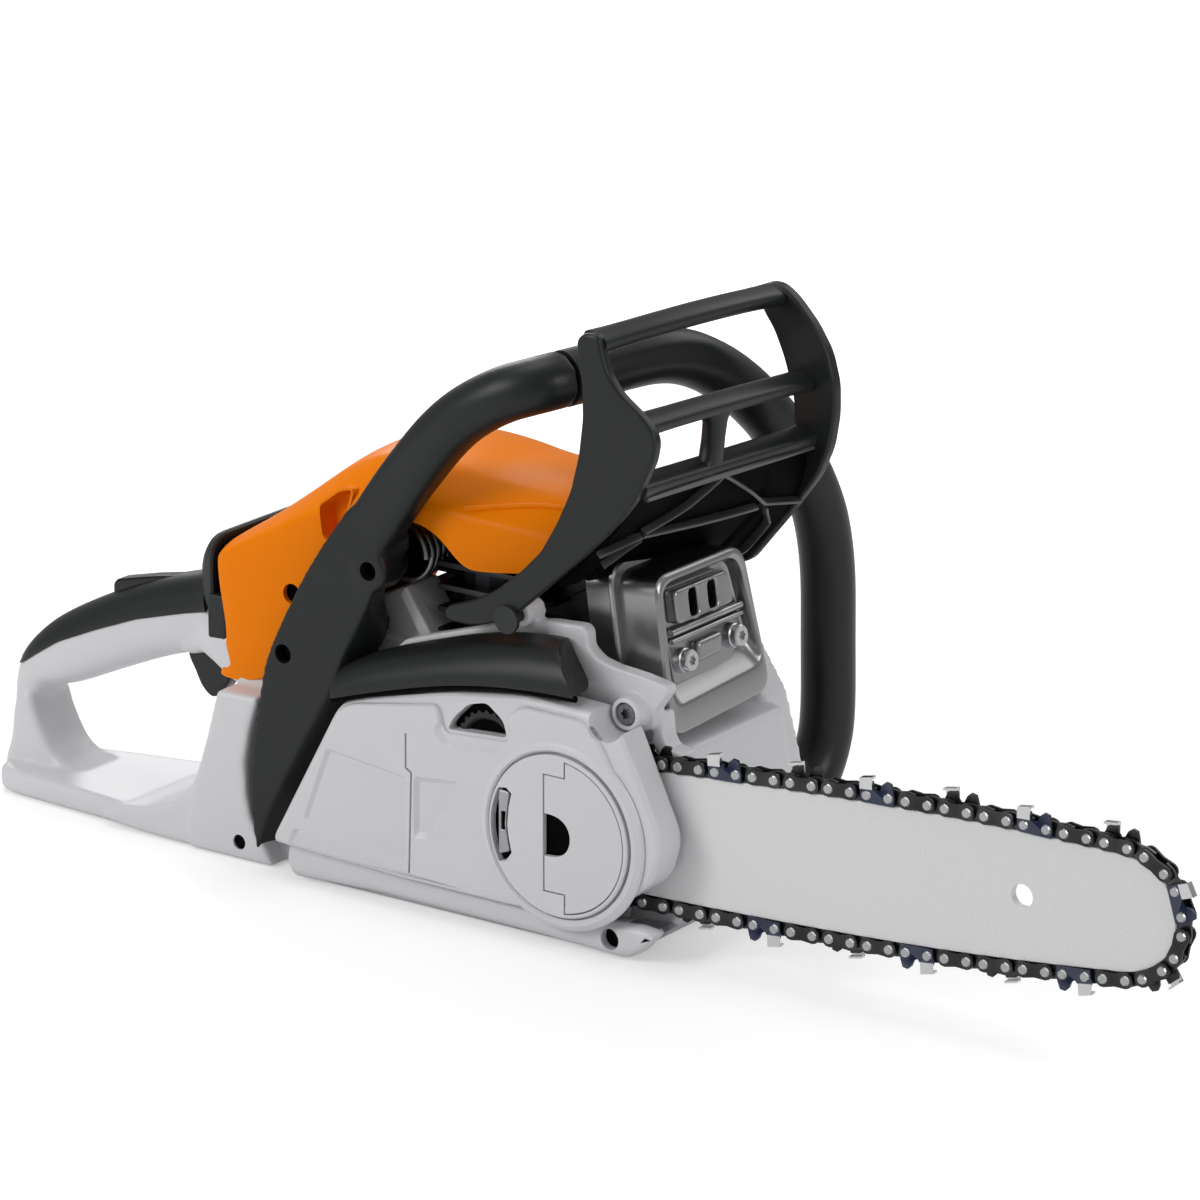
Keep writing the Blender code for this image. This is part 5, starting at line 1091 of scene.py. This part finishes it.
def rail_height(along):
    """Half height of the chain's path over the bar."""
    if along < 35:
        return 28.2 * (1 - (1 - along / 35) ** 2.25) ** (1 / 2.25)
    if along < 150:
        return 28.2 + 4.0 * (1 - (1 - (along - 35) / 115) ** 2)
    return 32.2 - 2.3 * ((along - 150) / 130) ** 2


def rail(inset, tail):
    """Outline of the chain's path round the bar, drawn in by the inset."""
    stations = [tail - (tail - 35) * i / 30 for i in range(30)]
    nose = [35 * (1 - math.sin(math.pi / 2 * i / 24)) for i in range(25)]
    upper = [Vector(bar_frame(s, rail_height(s))) for s in stations + nose[:-1]]
    lower = [Vector(bar_frame(s, -rail_height(s))) for s in (stations + nose[:-1])[::-1]]
    outline = upper + [Vector(bar_frame(0, 0))] + lower
    made = []
    for i, point in enumerate(outline):
        ahead = (outline[(i + 1) % len(outline)] - outline[i - 1]).normalized()
        made.append(tuple(point + Vector((ahead.y, -ahead.x)) * inset) if 0 < i < len(outline) - 1
            else tuple(point + Vector((0, -inset if i == 0 else inset))))
    return made


def guide_bar():
    """Lacquered plate with its hole and stud slot."""
    tail = BAR_REACH - 47
    outline = rail(3.4, tail - 22) + [bar_frame(tail, -15), bar_frame(tail, 15)]
    slot = rounded([(60, 47.2), (94, 47.2), (94, 55.8), (60, 55.8)], 4)
    slab("guide_bar_plate", [outline, disc(*bar_frame(74, 0), 5, 40), slot], BAR_Y - 2, BAR_Y + 2, 0.35, BAR_PAINT,
        "bar_and_chain", ("guide_bar",))


def chain_loop():
    """Rivet places round the bar and the sprocket, evenly spaced, with outward directions."""
    radius = 9.32 / (2 * math.sin(math.pi / 12))
    loop = rail(0, BAR_REACH - 61) + disc(CRANK[0], CRANK[1], radius, 72)
    loop = sorted(set(loop))
    hull = []
    for sweep in (loop, loop[::-1]):
        part = []
        for point in sweep:
            while len(part) >= 2 and ((part[-1][0] - part[-2][0]) * (point[1] - part[-2][1])
                                      - (part[-1][1] - part[-2][1]) * (point[0] - part[-2][0])) <= 0:
                part.pop()
            part.append(point)
        hull += part[:-1]
    return [Vector(point) for point in hull]


def chain_places(loop, marks):
    """Places at shares of the way round the loop, and its whole length."""
    lengths = [(loop[(i + 1) % len(loop)] - loop[i]).length for i in range(len(loop))]
    total = sum(lengths)
    made = []
    for mark in marks:
        left = (mark % 1.0) * total
        i = 0
        while left > lengths[i]:
            left -= lengths[i]
            i = (i + 1) % len(loop)
        made.append(loop[i].lerp(loop[(i + 1) % len(loop)], left / lengths[i]))
    return made, total


def link_plate(mesh, outline, near, far, look):
    """Flat link from an outline in the link's own frame."""
    face = mesh.faces.new([mesh.verts.new((a * MM, near * MM, b * MM)) for a, b in outline])
    face.material_index = look
    grown = bmesh.ops.extrude_face_region(mesh, geom=[face], use_keep_orig=True)
    verts = [item for item in grown["geom"] if isinstance(item, bmesh.types.BMVert)]
    bmesh.ops.translate(mesh, verts=verts, vec=(0, (far - near) * MM, 0))
    for vert in verts:
        for side in vert.link_faces:
            side.material_index = look


def strap_outline(length, half, waist):
    """Outline of a waisted strap with round ends."""
    made = []
    for k in range(7):
        angle = -math.pi / 2 + math.pi * k / 6
        made.append((length / 2 + half * math.cos(angle), half * math.sin(angle)))
    made.append((0, waist))
    for k in range(7):
        angle = math.pi / 2 + math.pi * k / 6
        made.append((-length / 2 + half * math.cos(angle), half * math.sin(angle)))
    made.append((0, -waist))
    return made


def rivet_head(mesh, at, y, side, look):
    """Domed rivet on the outside of a link."""
    disc_edge = bmesh.ops.create_cone(mesh, cap_ends=True, cap_tris=False, segments=10, radius1=2.25 * MM,
        radius2=1.8 * MM, depth=0.7 * MM,
        matrix=Matrix.Translation((at * MM, y * MM, 0)) @ Matrix.Rotation(math.radians(90 if side < 0 else -90), 4,
        "X"))
    for vert in disc_edge["verts"]:
        for face in vert.link_faces:
            face.material_index = look


def cutter_link(side, look):
    """Cutter on one side of the chain: side plate, bent top plate and depth gauge."""
    mesh = bmesh.new()
    plate = [(-7.9, -3.0), (7.4, -3.4), (8.2, 0), (7.6, 3.2), (6.8, 6.2), (4.4, 6.8), (2.6, 5.4), (1.2, 2.6),
        (-0.6, 1.9), (-1.8, 3.4), (-2.0, 6.2), (-6.6, 5.6), (-8.2, 2.4)]
    link_plate(mesh, plate, side * 1.9, side * 3.2, look)
    top = [(-2.0, 7.2), (-2.0, 8.1), (-8.0, 7.2), (-8.0, 6.3)]
    face = mesh.faces.new([mesh.verts.new((a * MM, side * 3.4 * MM, b * MM)) for a, b in top])
    face.material_index = 2
    grown = bmesh.ops.extrude_face_region(mesh, geom=[face], use_keep_orig=True)
    verts = [item for item in grown["geom"] if isinstance(item, bmesh.types.BMVert)]
    bmesh.ops.translate(mesh, verts=verts, vec=(0, -side * 3.0 * MM, 0))
    for vert in verts:
        for ring in vert.link_faces:
            ring.material_index = 2
    wall = [(-2.0, 2.8), (-2.0, 8.0), (-8.0, 7.1), (-8.0, 2.6)]
    link_plate(mesh, wall, side * 3.0, side * 3.7, 2)
    for at in (-STRAP / 2, STRAP / 2):
        rivet_head(mesh, at, side * 3.5, side, 3)
    return mesh


def tie_link(side):
    """Plain strap with two rivets."""
    mesh = bmesh.new()
    link_plate(mesh, strap_outline(STRAP, 3.4, 2.7), side * 1.9, side * 3.1, 0)
    for at in (-STRAP / 2, STRAP / 2):
        rivet_head(mesh, at, side * 3.4, side, 3)
    return mesh


def drive_link():
    """Middle link with its pointed tang."""
    mesh = bmesh.new()
    outline = [(-7.2, 2.6), (-3.6, 3.4), (0, 3.0), (3.6, 3.4), (7.2, 2.6), (7.2, -2.6), (4.2, -3.8), (1.2, -7.6),
        (-1.2, -7.6), (-4.2, -3.8), (-7.2, -2.6)]
    link_plate(mesh, outline, -0.7, 0.7, 4)
    return mesh


def saw_chain():
    """Forty-four links: straps, drive links, rivets and alternating cutters."""
    loop = chain_loop()
    _, total = chain_places(loop, [0.0])
    start = min(range(len(loop)), key=lambda i: abs(loop[i].x - (BAR_REACH - 258)) + (0 if loop[i].y > 60 else 999))
    run = [(loop[(i + 1) % len(loop)] - loop[i]).length for i in range(len(loop))]
    offset = sum(run[:start]) / total
    made = bmesh.new()
    meshes = {}
    for key, maker in (("near", lambda: cutter_link(-1, 1)), ("far", lambda: cutter_link(1, 0)),
            ("tie_near", lambda: tie_link(-1)), ("tie_far", lambda: tie_link(1)), ("drive", drive_link)):
        shape = maker()
        bmesh.ops.recalc_face_normals(shape, faces=shape.faces)
        data = bpy.data.meshes.new(key)
        shape.to_mesh(data)
        shape.free()
        meshes[key] = data
    pitch = total / CHAIN_LINKS

    def put(key, first, second):
        a, b = chain_places(loop, [first / total, second / total])[0]
        middle = (a + b) / 2
        course = (b - a).normalized()
        place = Matrix(((course.x, 0, -course.y, middle.x * MM), (0, 1, 0, BAR_Y * MM),
            (course.y, 0, course.x, middle.y * MM), (0, 0, 0, 1)))
        copy = meshes[key].copy()
        copy.transform(place)
        made.from_mesh(copy)
        bpy.data.meshes.remove(copy)

    for m in range(CHAIN_LINKS):
        at = offset * total - m * pitch
        strap_end = at - STRAP
        put("near" if m % 4 == 2 else "tie_near", at, strap_end)
        put("far" if m % 4 == 0 else "tie_far", at, strap_end)
        put("drive", strap_end + 1.0, at - pitch - 1.0)
    data = bpy.data.meshes.new("saw_chain_links")
    bmesh.ops.recalc_face_normals(made, faces=made.faces)
    made.to_mesh(data)
    made.free()
    obj = bpy.data.objects.new("saw_chain_links", data)
    bpy.context.scene.collection.objects.link(obj)
    for look in (LINK_DARK, LINK_BLUE, LINK_BRIGHT, RIVET, LINK_GREY):
        data.materials.append(look)
    dress(obj, LINK_DARK, "bar_and_chain", ("saw_chain",), 30, False)


# ------------------------------------------------------------------ muffler
def lean(x, y, z):
    """Point on the leaning muffler: x ahead of its front face."""
    return (105 + x - (z - 123) * 0.14, y, z)


def frame_ring(depth, inset, corner, foot=0.0):
    """Rounded ring of the muffler, inset from its outline and lifted at the foot."""
    outline = rounded([(-35.5 + inset, 89 + inset + foot), (-35.2 + inset, 157.5 - inset),
        (29.5 - inset, 157.5 - inset), (39 - inset, 92 + inset + foot)], corner, 6)
    return [lean(depth, y, z) for y, z in outline]


def muffler():
    """Pressed steel muffler: body, crimped seam, bright frame and sunk front."""
    rings = [frame_ring(-38, 3.2, 9), frame_ring(-37.4, 1.4, 10), frame_ring(-24, 0.6, 10),
        frame_ring(-23.6, -1.6, 11), frame_ring(-22.8, -2.2, 11), frame_ring(-21.6, -2.2, 11),
        frame_ring(-20.8, -1.6, 11), frame_ring(-20.4, 1.4, 10), frame_ring(-6, 0.6, 10),
        frame_ring(-1.6, 0.2, 10), frame_ring(-0.5, 0.9, 9.6), frame_ring(0, 2.2, 9),
        frame_ring(-0.1, 3.4, 8.6, 8.0), frame_ring(-0.9, 4.4, 8, 8.6), frame_ring(-2.6, 5.0, 7.6, 9.6),
        frame_ring(-6.0, 6.2, 7, 13.0), frame_ring(-6.8, 7.4, 6, 14.4), frame_ring(-6.9, 9, 5, 15.4)]
    skin("muffler_shell", rings, MUFFLER, "saw", ("muffler",), 34)


def muffler_stand(depth):
    """Frame for plates that lie on the muffler's front, across and up its face."""
    up = Vector((-0.1386, 0, 0.9903))
    out = Vector((0.9903, 0, 0.1386))
    origin = spot(*lean(depth, 0, 123))
    return Matrix(((0, up.x, out.x, origin.x), (1, 0, 0, origin.y), (0, up.z, out.z, origin.z), (0, 0, 0, 1)))


def spark_screen():
    """Screen holder with two slots, two cross ribs and a lug between the screws."""
    stand = muffler_stand(0)
    slab("screen_plate", [rounded([(-23, -14), (18, -14), (27, -5), (27.6, 9), (20, 18), (16, 27), (-24.6, 27.6),
        (-25, 6)], 3)], -7.4, -5.2, 0.6, MUFFLER, "saw", ("spark_screen_bracket",), stand)
    slots = [rounded([(y - 3.1, 13.2), (y + 3.1, 13.2), (y + 3.1, 25), (y - 3.1, 25)], 2.9) for y in (-10.4, 3.4)]
    slab("screen_box", [rounded([(-23, 12), (17.6, 12), (15.6, 26.6), (-23.4, 26.6)], 3)] + slots, -5.6, 0.4, 1.3,
        MUFFLER, "saw", (), stand)
    # near-black plate behind the slots: painted shade
    slab("screen_painted_shade", [rounded([(-20, 13), (14, 13), (13, 25.4), (-20, 25.4)], 2)], -5.1, -4.6, 0.1, PAINTED_SHADE_BLACK,
        "saw", (), stand)
    for index, (v, half) in enumerate(((8.6, 1.7), (4.9, 1.2))):
        points = [(stand @ Vector((y * MM, v * MM, -3.6 * MM))) / MM for y in (-24.4, 0, 27)]
        pipe(f"screen_rib_{index}", [tuple(p) for p in points], half, MUFFLER, "saw")
    slab("screen_lug", [rounded([(-9.5, -7.6), (8.4, -7), (9.6, 1.6), (-8.6, 1.4)], 2.4)], -6, -1.2, 1.6, MUFFLER,
        "saw", (), stand)
    screen_screw("muffler_screw_head_lower", (-18.2, -4.2), "muffler_screw_lower")
    screen_screw("muffler_screw_head_upper", (18.6, -2.8), "muffler_screw_upper")


def screen_screw(name, place, node):
    """Flanged screw on the muffler's face with a six-lobed drive."""
    stand = muffler_stand(0)
    centre = stand @ Vector((place[0] * MM, place[1] * MM, 0))
    out = Vector((0.9903, 0, 0.1386))
    profile = [(-7, 0), (-7, 5.6), (-1.6, 5.2), (-1.2, 4.7), (1.2, 4.7), (1.8, 4.2), (1.8, 0)]
    head = raw_turned(name, profile, tuple(centre / MM), out, 40)
    lobes = []
    for i in range(48):
        reach = 2.0 + 0.32 * math.cos(6 * 2 * math.pi * i / 48)
        lobes.append((place[0] + reach * math.cos(2 * math.pi * i / 48),
            place[1] + reach * math.sin(2 * math.pi * i / 48)))
    dress(carve(head, raw_slab("drive", [lobes], 0.4, 4, 0.02, stand)), STEEL, "saw", (node,), 28)


# ------------------------------------------------------------------ housings on the left and below
def engine_housing():
    """White casting with a path for the chain, and the skirt under the side cover."""
    base = node_copy("engine_housing", "engine_housing_raw")
    cast = melt("engine_housing_cast", [base], 1.7, 3)
    loop = chain_loop()
    rims = []
    for reach in (10, -9.5):
        rim = []
        for i, point in enumerate(loop):
            ahead = (loop[(i + 1) % len(loop)] - loop[i - 1]).normalized()
            rim.append(tuple(point + Vector((ahead.y, -ahead.x)) * reach + Vector((-2, 0))))
        rims.append(rim)
    carve(cast, raw_slab("chain_path", rims, -60, -42.8, 0.02))
    dress(cast, WHITE, "saw", ("engine_housing",), 60, False)
    keel = [(-70, 17), (-72, 8), (-68, 1.6), (-20, 3.6), (60, 2.6), (107, 1.4), (115, 6), (123.5, 15.4),
        (112, 16.6), (100, 15), (50, 13.6), (0, 14.2)]
    skirt = raw_slab("lower_skirt", [rounded(keel, 3)], -66, -57.6, 3.2)
    carve(skirt, raw_turned("hollow", [(-70, 4.6), (-60, 4.6)], (99, 0, 8.6), steps=32))
    dress(skirt, WHITE, "saw")
    # near-black disc inside the skirt hole: painted shade
    turned("skirt_hole_painted_shade", [(-62, 4.5), (-60.2, 4.5), (-60.2, 0)], (99, 0, 8.6), PAINTED_SHADE_BLACK, "saw", steps=32)


def fan_cover():
    """Rolled cover of the fan, with its hub and screws."""
    softened("fan_cover", 2.2, WHITE, "saw")
    turned("fan_cover_ring", [(97.2, 20.6), (98, 20.2), (98, 17.6), (97.2, 17)], (0, 0, 52), WHITE, "saw", steps=72)
    turned("fan_cover_hub", [(97.2, 14), (98.1, 12.6), (98.1, 0)], (0, 0, 52), WHITE, "saw", steps=64)
    for index, (x, z) in enumerate(((-54, 18), (54, 18), (50, 88), (-44, 88))):
        turned(f"fan_cover_screw_{index}", [(97.6, 4.4), (98.2, 4.2), (98.2, 1.8), (97.4, 1.6), (97.4, 0)],
            (x, 0, z), STEEL, "saw", steps=32)


def tank_cap(name, x, z, y, body, node):
    """Round cap with a grip rim and a folded tab."""
    rim = []
    for i in range(96):
        radius = 16 if i % 4 < 2 else 15.5
        rim.append((x + radius * math.cos(2 * math.pi * i / 96), z + radius * math.sin(2 * math.pi * i / 96)))
    slab(name + "_rim", [rim], y + 0.4, y + 4.6, 0.5, GLOSSY, body, (node,))
    block(name + "_tab", (x - 11, y + 4, z - 2.2), (x + 11, y + 9, z + 2.2), 1.2, GLOSSY, body)
    turned(name + "_plug", [(y + 0.6, 10.5), (y - 8, 10.5), (y - 8, 0)], (x, 0, z), GLOSSY, body, steps=40)


def starter():
    """Pull grip, and its cord, which is left without a parent."""
    x, y = -21, 73
    grip = raw_skin("grip_bar", [section((x + a, y, 120), (0, 1, 0), (0, 0, 1), w, h, 2.6, 24)
        for a, w, h in ((-22, 3.6, 3), (-20.5, 5, 4.2), (-15, 5.9, 4.9), (-6, 5.6, 4.9), (0, 5.8, 5),
        (6, 5.6, 4.9), (15, 5.9, 4.9), (20.5, 5, 4.2), (22, 3.6, 3))])
    stem = raw_turned("grip_stem", [(106.6, 5.4), (108, 6.2), (112, 6.8), (116, 6)], (x, y, 0), "Z", 36)
    made = melt("starter_grip_moulding", [grip, stem], 0.7, 3)
    dress(made, GLOSSY, "starter_grip", ("starter_grip",), 60, False)
    rope = raw_skin("starter_cord", [section((x, y, z), (1, 0, 0), (0, 1, 0), 1.5, 1.5, 2, 14)
        for z in [54 + 1.6 * k for k in range(40)] + [117.4]])
    dress(rope, CORD, "saw", ("starter_rope",), 60, False)
    rope.parent = None
    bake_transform(rope)


def spring_bracket():
    """Light cast post with arched webs under the spring."""
    post = raw_slab("post", [rounded([(-48.7, 122), (-27.7, 132.3), (-15.5, 113.9), (-13, 104), (-30, 100),
        (-40.3, 104), (-40.8, 110), (-40.2, 115.1), (-44.4, 118.7), (-49, 120)], 1.5)], -33, -14, 1.2)
    arch = raw_slab("web", [rounded([(-61, 96), (-60, 99.4), (-57.5, 102.7), (-47.2, 106), (-40, 107.4), (-28, 108),
        (-14, 110), (-10, 104), (-14, 96), (-40, 92), (-58, 92)], 1.5)], -36, -30, 1.2)
    shelf = raw_slab("shelf", [rounded([(-56, 80.5), (-14, 80.5), (-14, 103), (-34, 103), (-50, 96), (-57, 96)],
        3)], -34, -12, 1.2)
    edge = raw_slab("edge", [rounded([(-31, 128), (-27.7, 132.3), (-13.6, 112), (-18.6, 108)], 0.8)], -37, -30, 0.6)
    made = melt("spring_bracket_cast", [post, arch, shelf, edge], 0.8, 1)
    hollow = raw_turned("hollow", [(-40, 2.4), (-30.6, 2.4)], (-44.6, 0, 98.6), steps=28)
    dress(carve(made, hollow), WHITE, "saw", ("spring_bracket",), 60, False)


def control_lever():
    """Stop and choke lever on the left."""
    hub = raw_turned("hub", [(44.5, 7), (49.4, 7), (50, 6.4)], (-118, 0, 110), steps=40)
    lever = raw_slab("lever", [rounded([(-118, 107), (-142, 113.6), (-143, 120), (-118, 116.6)], 2)], 45, 50, 1)
    made = melt("control_lever_moulding", [hub, lever], 0.7, 2)
    dress(made, GLOSSY, "control_lever", ("control_lever",), 60, False)


def inner_finishes():
    """Finishes of the frame nodes that stay as they are."""
    looks = {"crankcase": ALLOY, "cylinder": DARK_ALLOY, "piston": ALLOY, "connecting_rod": STEEL,
        "crank_pin": STEEL, "crankshaft_right": STEEL, "crankshaft_left": STEEL, "flywheel": ALLOY,
        "clutch_drum": STEEL, "clutch_shoes": ALLOY, "brake_band": STEEL, "oil_pump": ALLOY, "spark_plug": STEEL,
        "plug_boot": RUBBER, "intake_boot": RUBBER, "carburettor": ALLOY, "throttle_lever": STEEL,
        "throttle_rod": STEEL, "air_filter": RUBBER, "ignition_coil": RUBBER, "bar_stud": STEEL,
        "adjuster_spindle": STEEL, "guard_pin_right": BLACK, "guard_pin_left": BLACK,
        "rewind_spring": SPRING_STEEL, "starter_rotor": GLOSSY, "rear_av_buffer": RUBBER,
        "lower_av_buffer": RUBBER, "handle_foot_buffer": RUBBER, "chain_catcher": ALLOY}
    for name, obj in nodes.items():
        if obj.hide_render:
            continue
        look = looks.get(name, STEEL)
        obj.data.materials.clear()
        obj.data.materials.append(look)


# ------------------------------------------------------------------ floor, light and camera
def stage():
    """Pale floor whose glow to the camera is weaker near the saw, painting shade round it, and brightens away from
    it.
    """
    mesh = bmesh.new()
    bmesh.ops.create_grid(mesh, x_segments=1, y_segments=1, size=6.0)
    floor = as_object("floor", mesh)
    made = bpy.data.materials.new("pale_floor_painted_shade")
    made.use_nodes = True
    tree = made.node_tree
    shader = tree.nodes["Principled BSDF"]
    shader.inputs["Base Color"].default_value = (0.86, 0.86, 0.865, 1)
    shader.inputs["Roughness"].default_value = 0.7
    shader.inputs["Specular IOR Level"].default_value = 0.2
    path = tree.nodes.new("ShaderNodeLightPath")
    away = tree.nodes.new("ShaderNodeVectorMath")
    away.operation = "LENGTH"
    tree.links.new(tree.nodes.new("ShaderNodeTexCoord").outputs["Object"], away.inputs[0])
    # camera-ray glow dimmed near the saw: painted shade round the saw
    near_saw_painted_shade = tree.nodes.new("ShaderNodeMapRange")
    near_saw_painted_shade.inputs["From Min"].default_value = 0.3
    near_saw_painted_shade.inputs["From Max"].default_value = 1.3
    near_saw_painted_shade.inputs["To Min"].default_value = 0.34
    near_saw_painted_shade.inputs["To Max"].default_value = 0.85
    tree.links.new(away.outputs["Value"], near_saw_painted_shade.inputs["Value"])
    glow = math_node(tree, "MULTIPLY", path.outputs["Is Camera Ray"], near_saw_painted_shade.outputs["Result"])
    shader.inputs["Emission Color"].default_value = (1, 1, 1, 1)
    tree.links.new(glow, shader.inputs["Emission Strength"])
    floor.data.materials.append(made)


def area(name, place, aim, size, power):
    """Soft rectangular lamp."""
    lamp = bpy.data.lights.new(name, "AREA")
    lamp.shape = "RECTANGLE"
    lamp.size, lamp.size_y = size
    lamp.energy = power
    obj = bpy.data.objects.new(name, lamp)
    bpy.context.scene.collection.objects.link(obj)
    obj.location = place
    obj.rotation_euler = (Vector(aim) - Vector(place)).to_track_quat("-Z", "Y").to_euler()


def lights():
    """White surround and the soft lamps."""
    world = bpy.data.worlds.new("studio")
    bpy.context.scene.world = world
    world.use_nodes = True
    tree = world.node_tree
    back = tree.nodes["Background"]
    path = tree.nodes.new("ShaderNodeLightPath")
    strength = math_node(tree, "MULTIPLY_ADD", path.outputs["Is Camera Ray"], 0.7, 0.3)
    back.inputs["Color"].default_value = (1, 1, 1, 1)
    tree.links.new(strength, back.inputs["Strength"])
    area("overhead_softbox", (-0.2, 0.1, 1.5), (0.0, 0, 0.1), (1.0, 0.8), 5.5)
    area("front_softbox", (-0.75, -1.45, 0.95), (0.05, 0, 0.1), (0.8, 0.8), 12)
    area("nose_softbox", (1.5, -0.1, 0.75), (0.1, 0, 0.12), (0.6, 0.6), 5)
    area("left_card", (0.35, 1.35, 1.1), (0.1, 0, 0.12), (1.2, 0.7), 4)
    area("rear_strip", (-1.0, 0.9, 0.9), (0, 0, 0.12), (0.4, 1.0), 6)


def camera():
    """Long lens from the front right, slightly above."""
    back = Vector((0.55409, -0.77840, 0.29510)).normalized()
    right = Vector((0.81467, 0.57993, 0)).normalized()
    up = back.cross(right)
    data = bpy.data.cameras.new("camera")
    data.lens = 190.2
    data.sensor_width = 36
    obj = bpy.data.objects.new("camera", data)
    bpy.context.scene.collection.objects.link(obj)
    obj.matrix_world = Matrix(((right.x, up.x, back.x, 1.5276), (right.y, up.y, back.y, -2.0796),
        (right.z, up.z, back.z, 0.9184), (0, 0, 0, 1)))
    bpy.context.scene.camera = obj
    bpy.context.scene.view_settings.view_transform = "Standard"


rear_handle()
grip_top()
collar()
trigger_and_lock()
top_cover()
handle_arm()
front_handle()
av_spring()
spring_bracket()
hand_guard()
clutch_cover()
clamp_nut()
adjuster_wheel()
brake_shell()
front_bracket()
guide_bar()
saw_chain()
muffler()
spark_screen()
engine_housing()
fan_cover()
tank_cap("fuel_cap", -99, 40, 52, "fuel_cap", "fuel_cap")
tank_cap("oil_cap", 86, 60, 58, "oil_cap", "oil_cap")
starter()
control_lever()
inner_finishes()
stage()
lights()
camera()
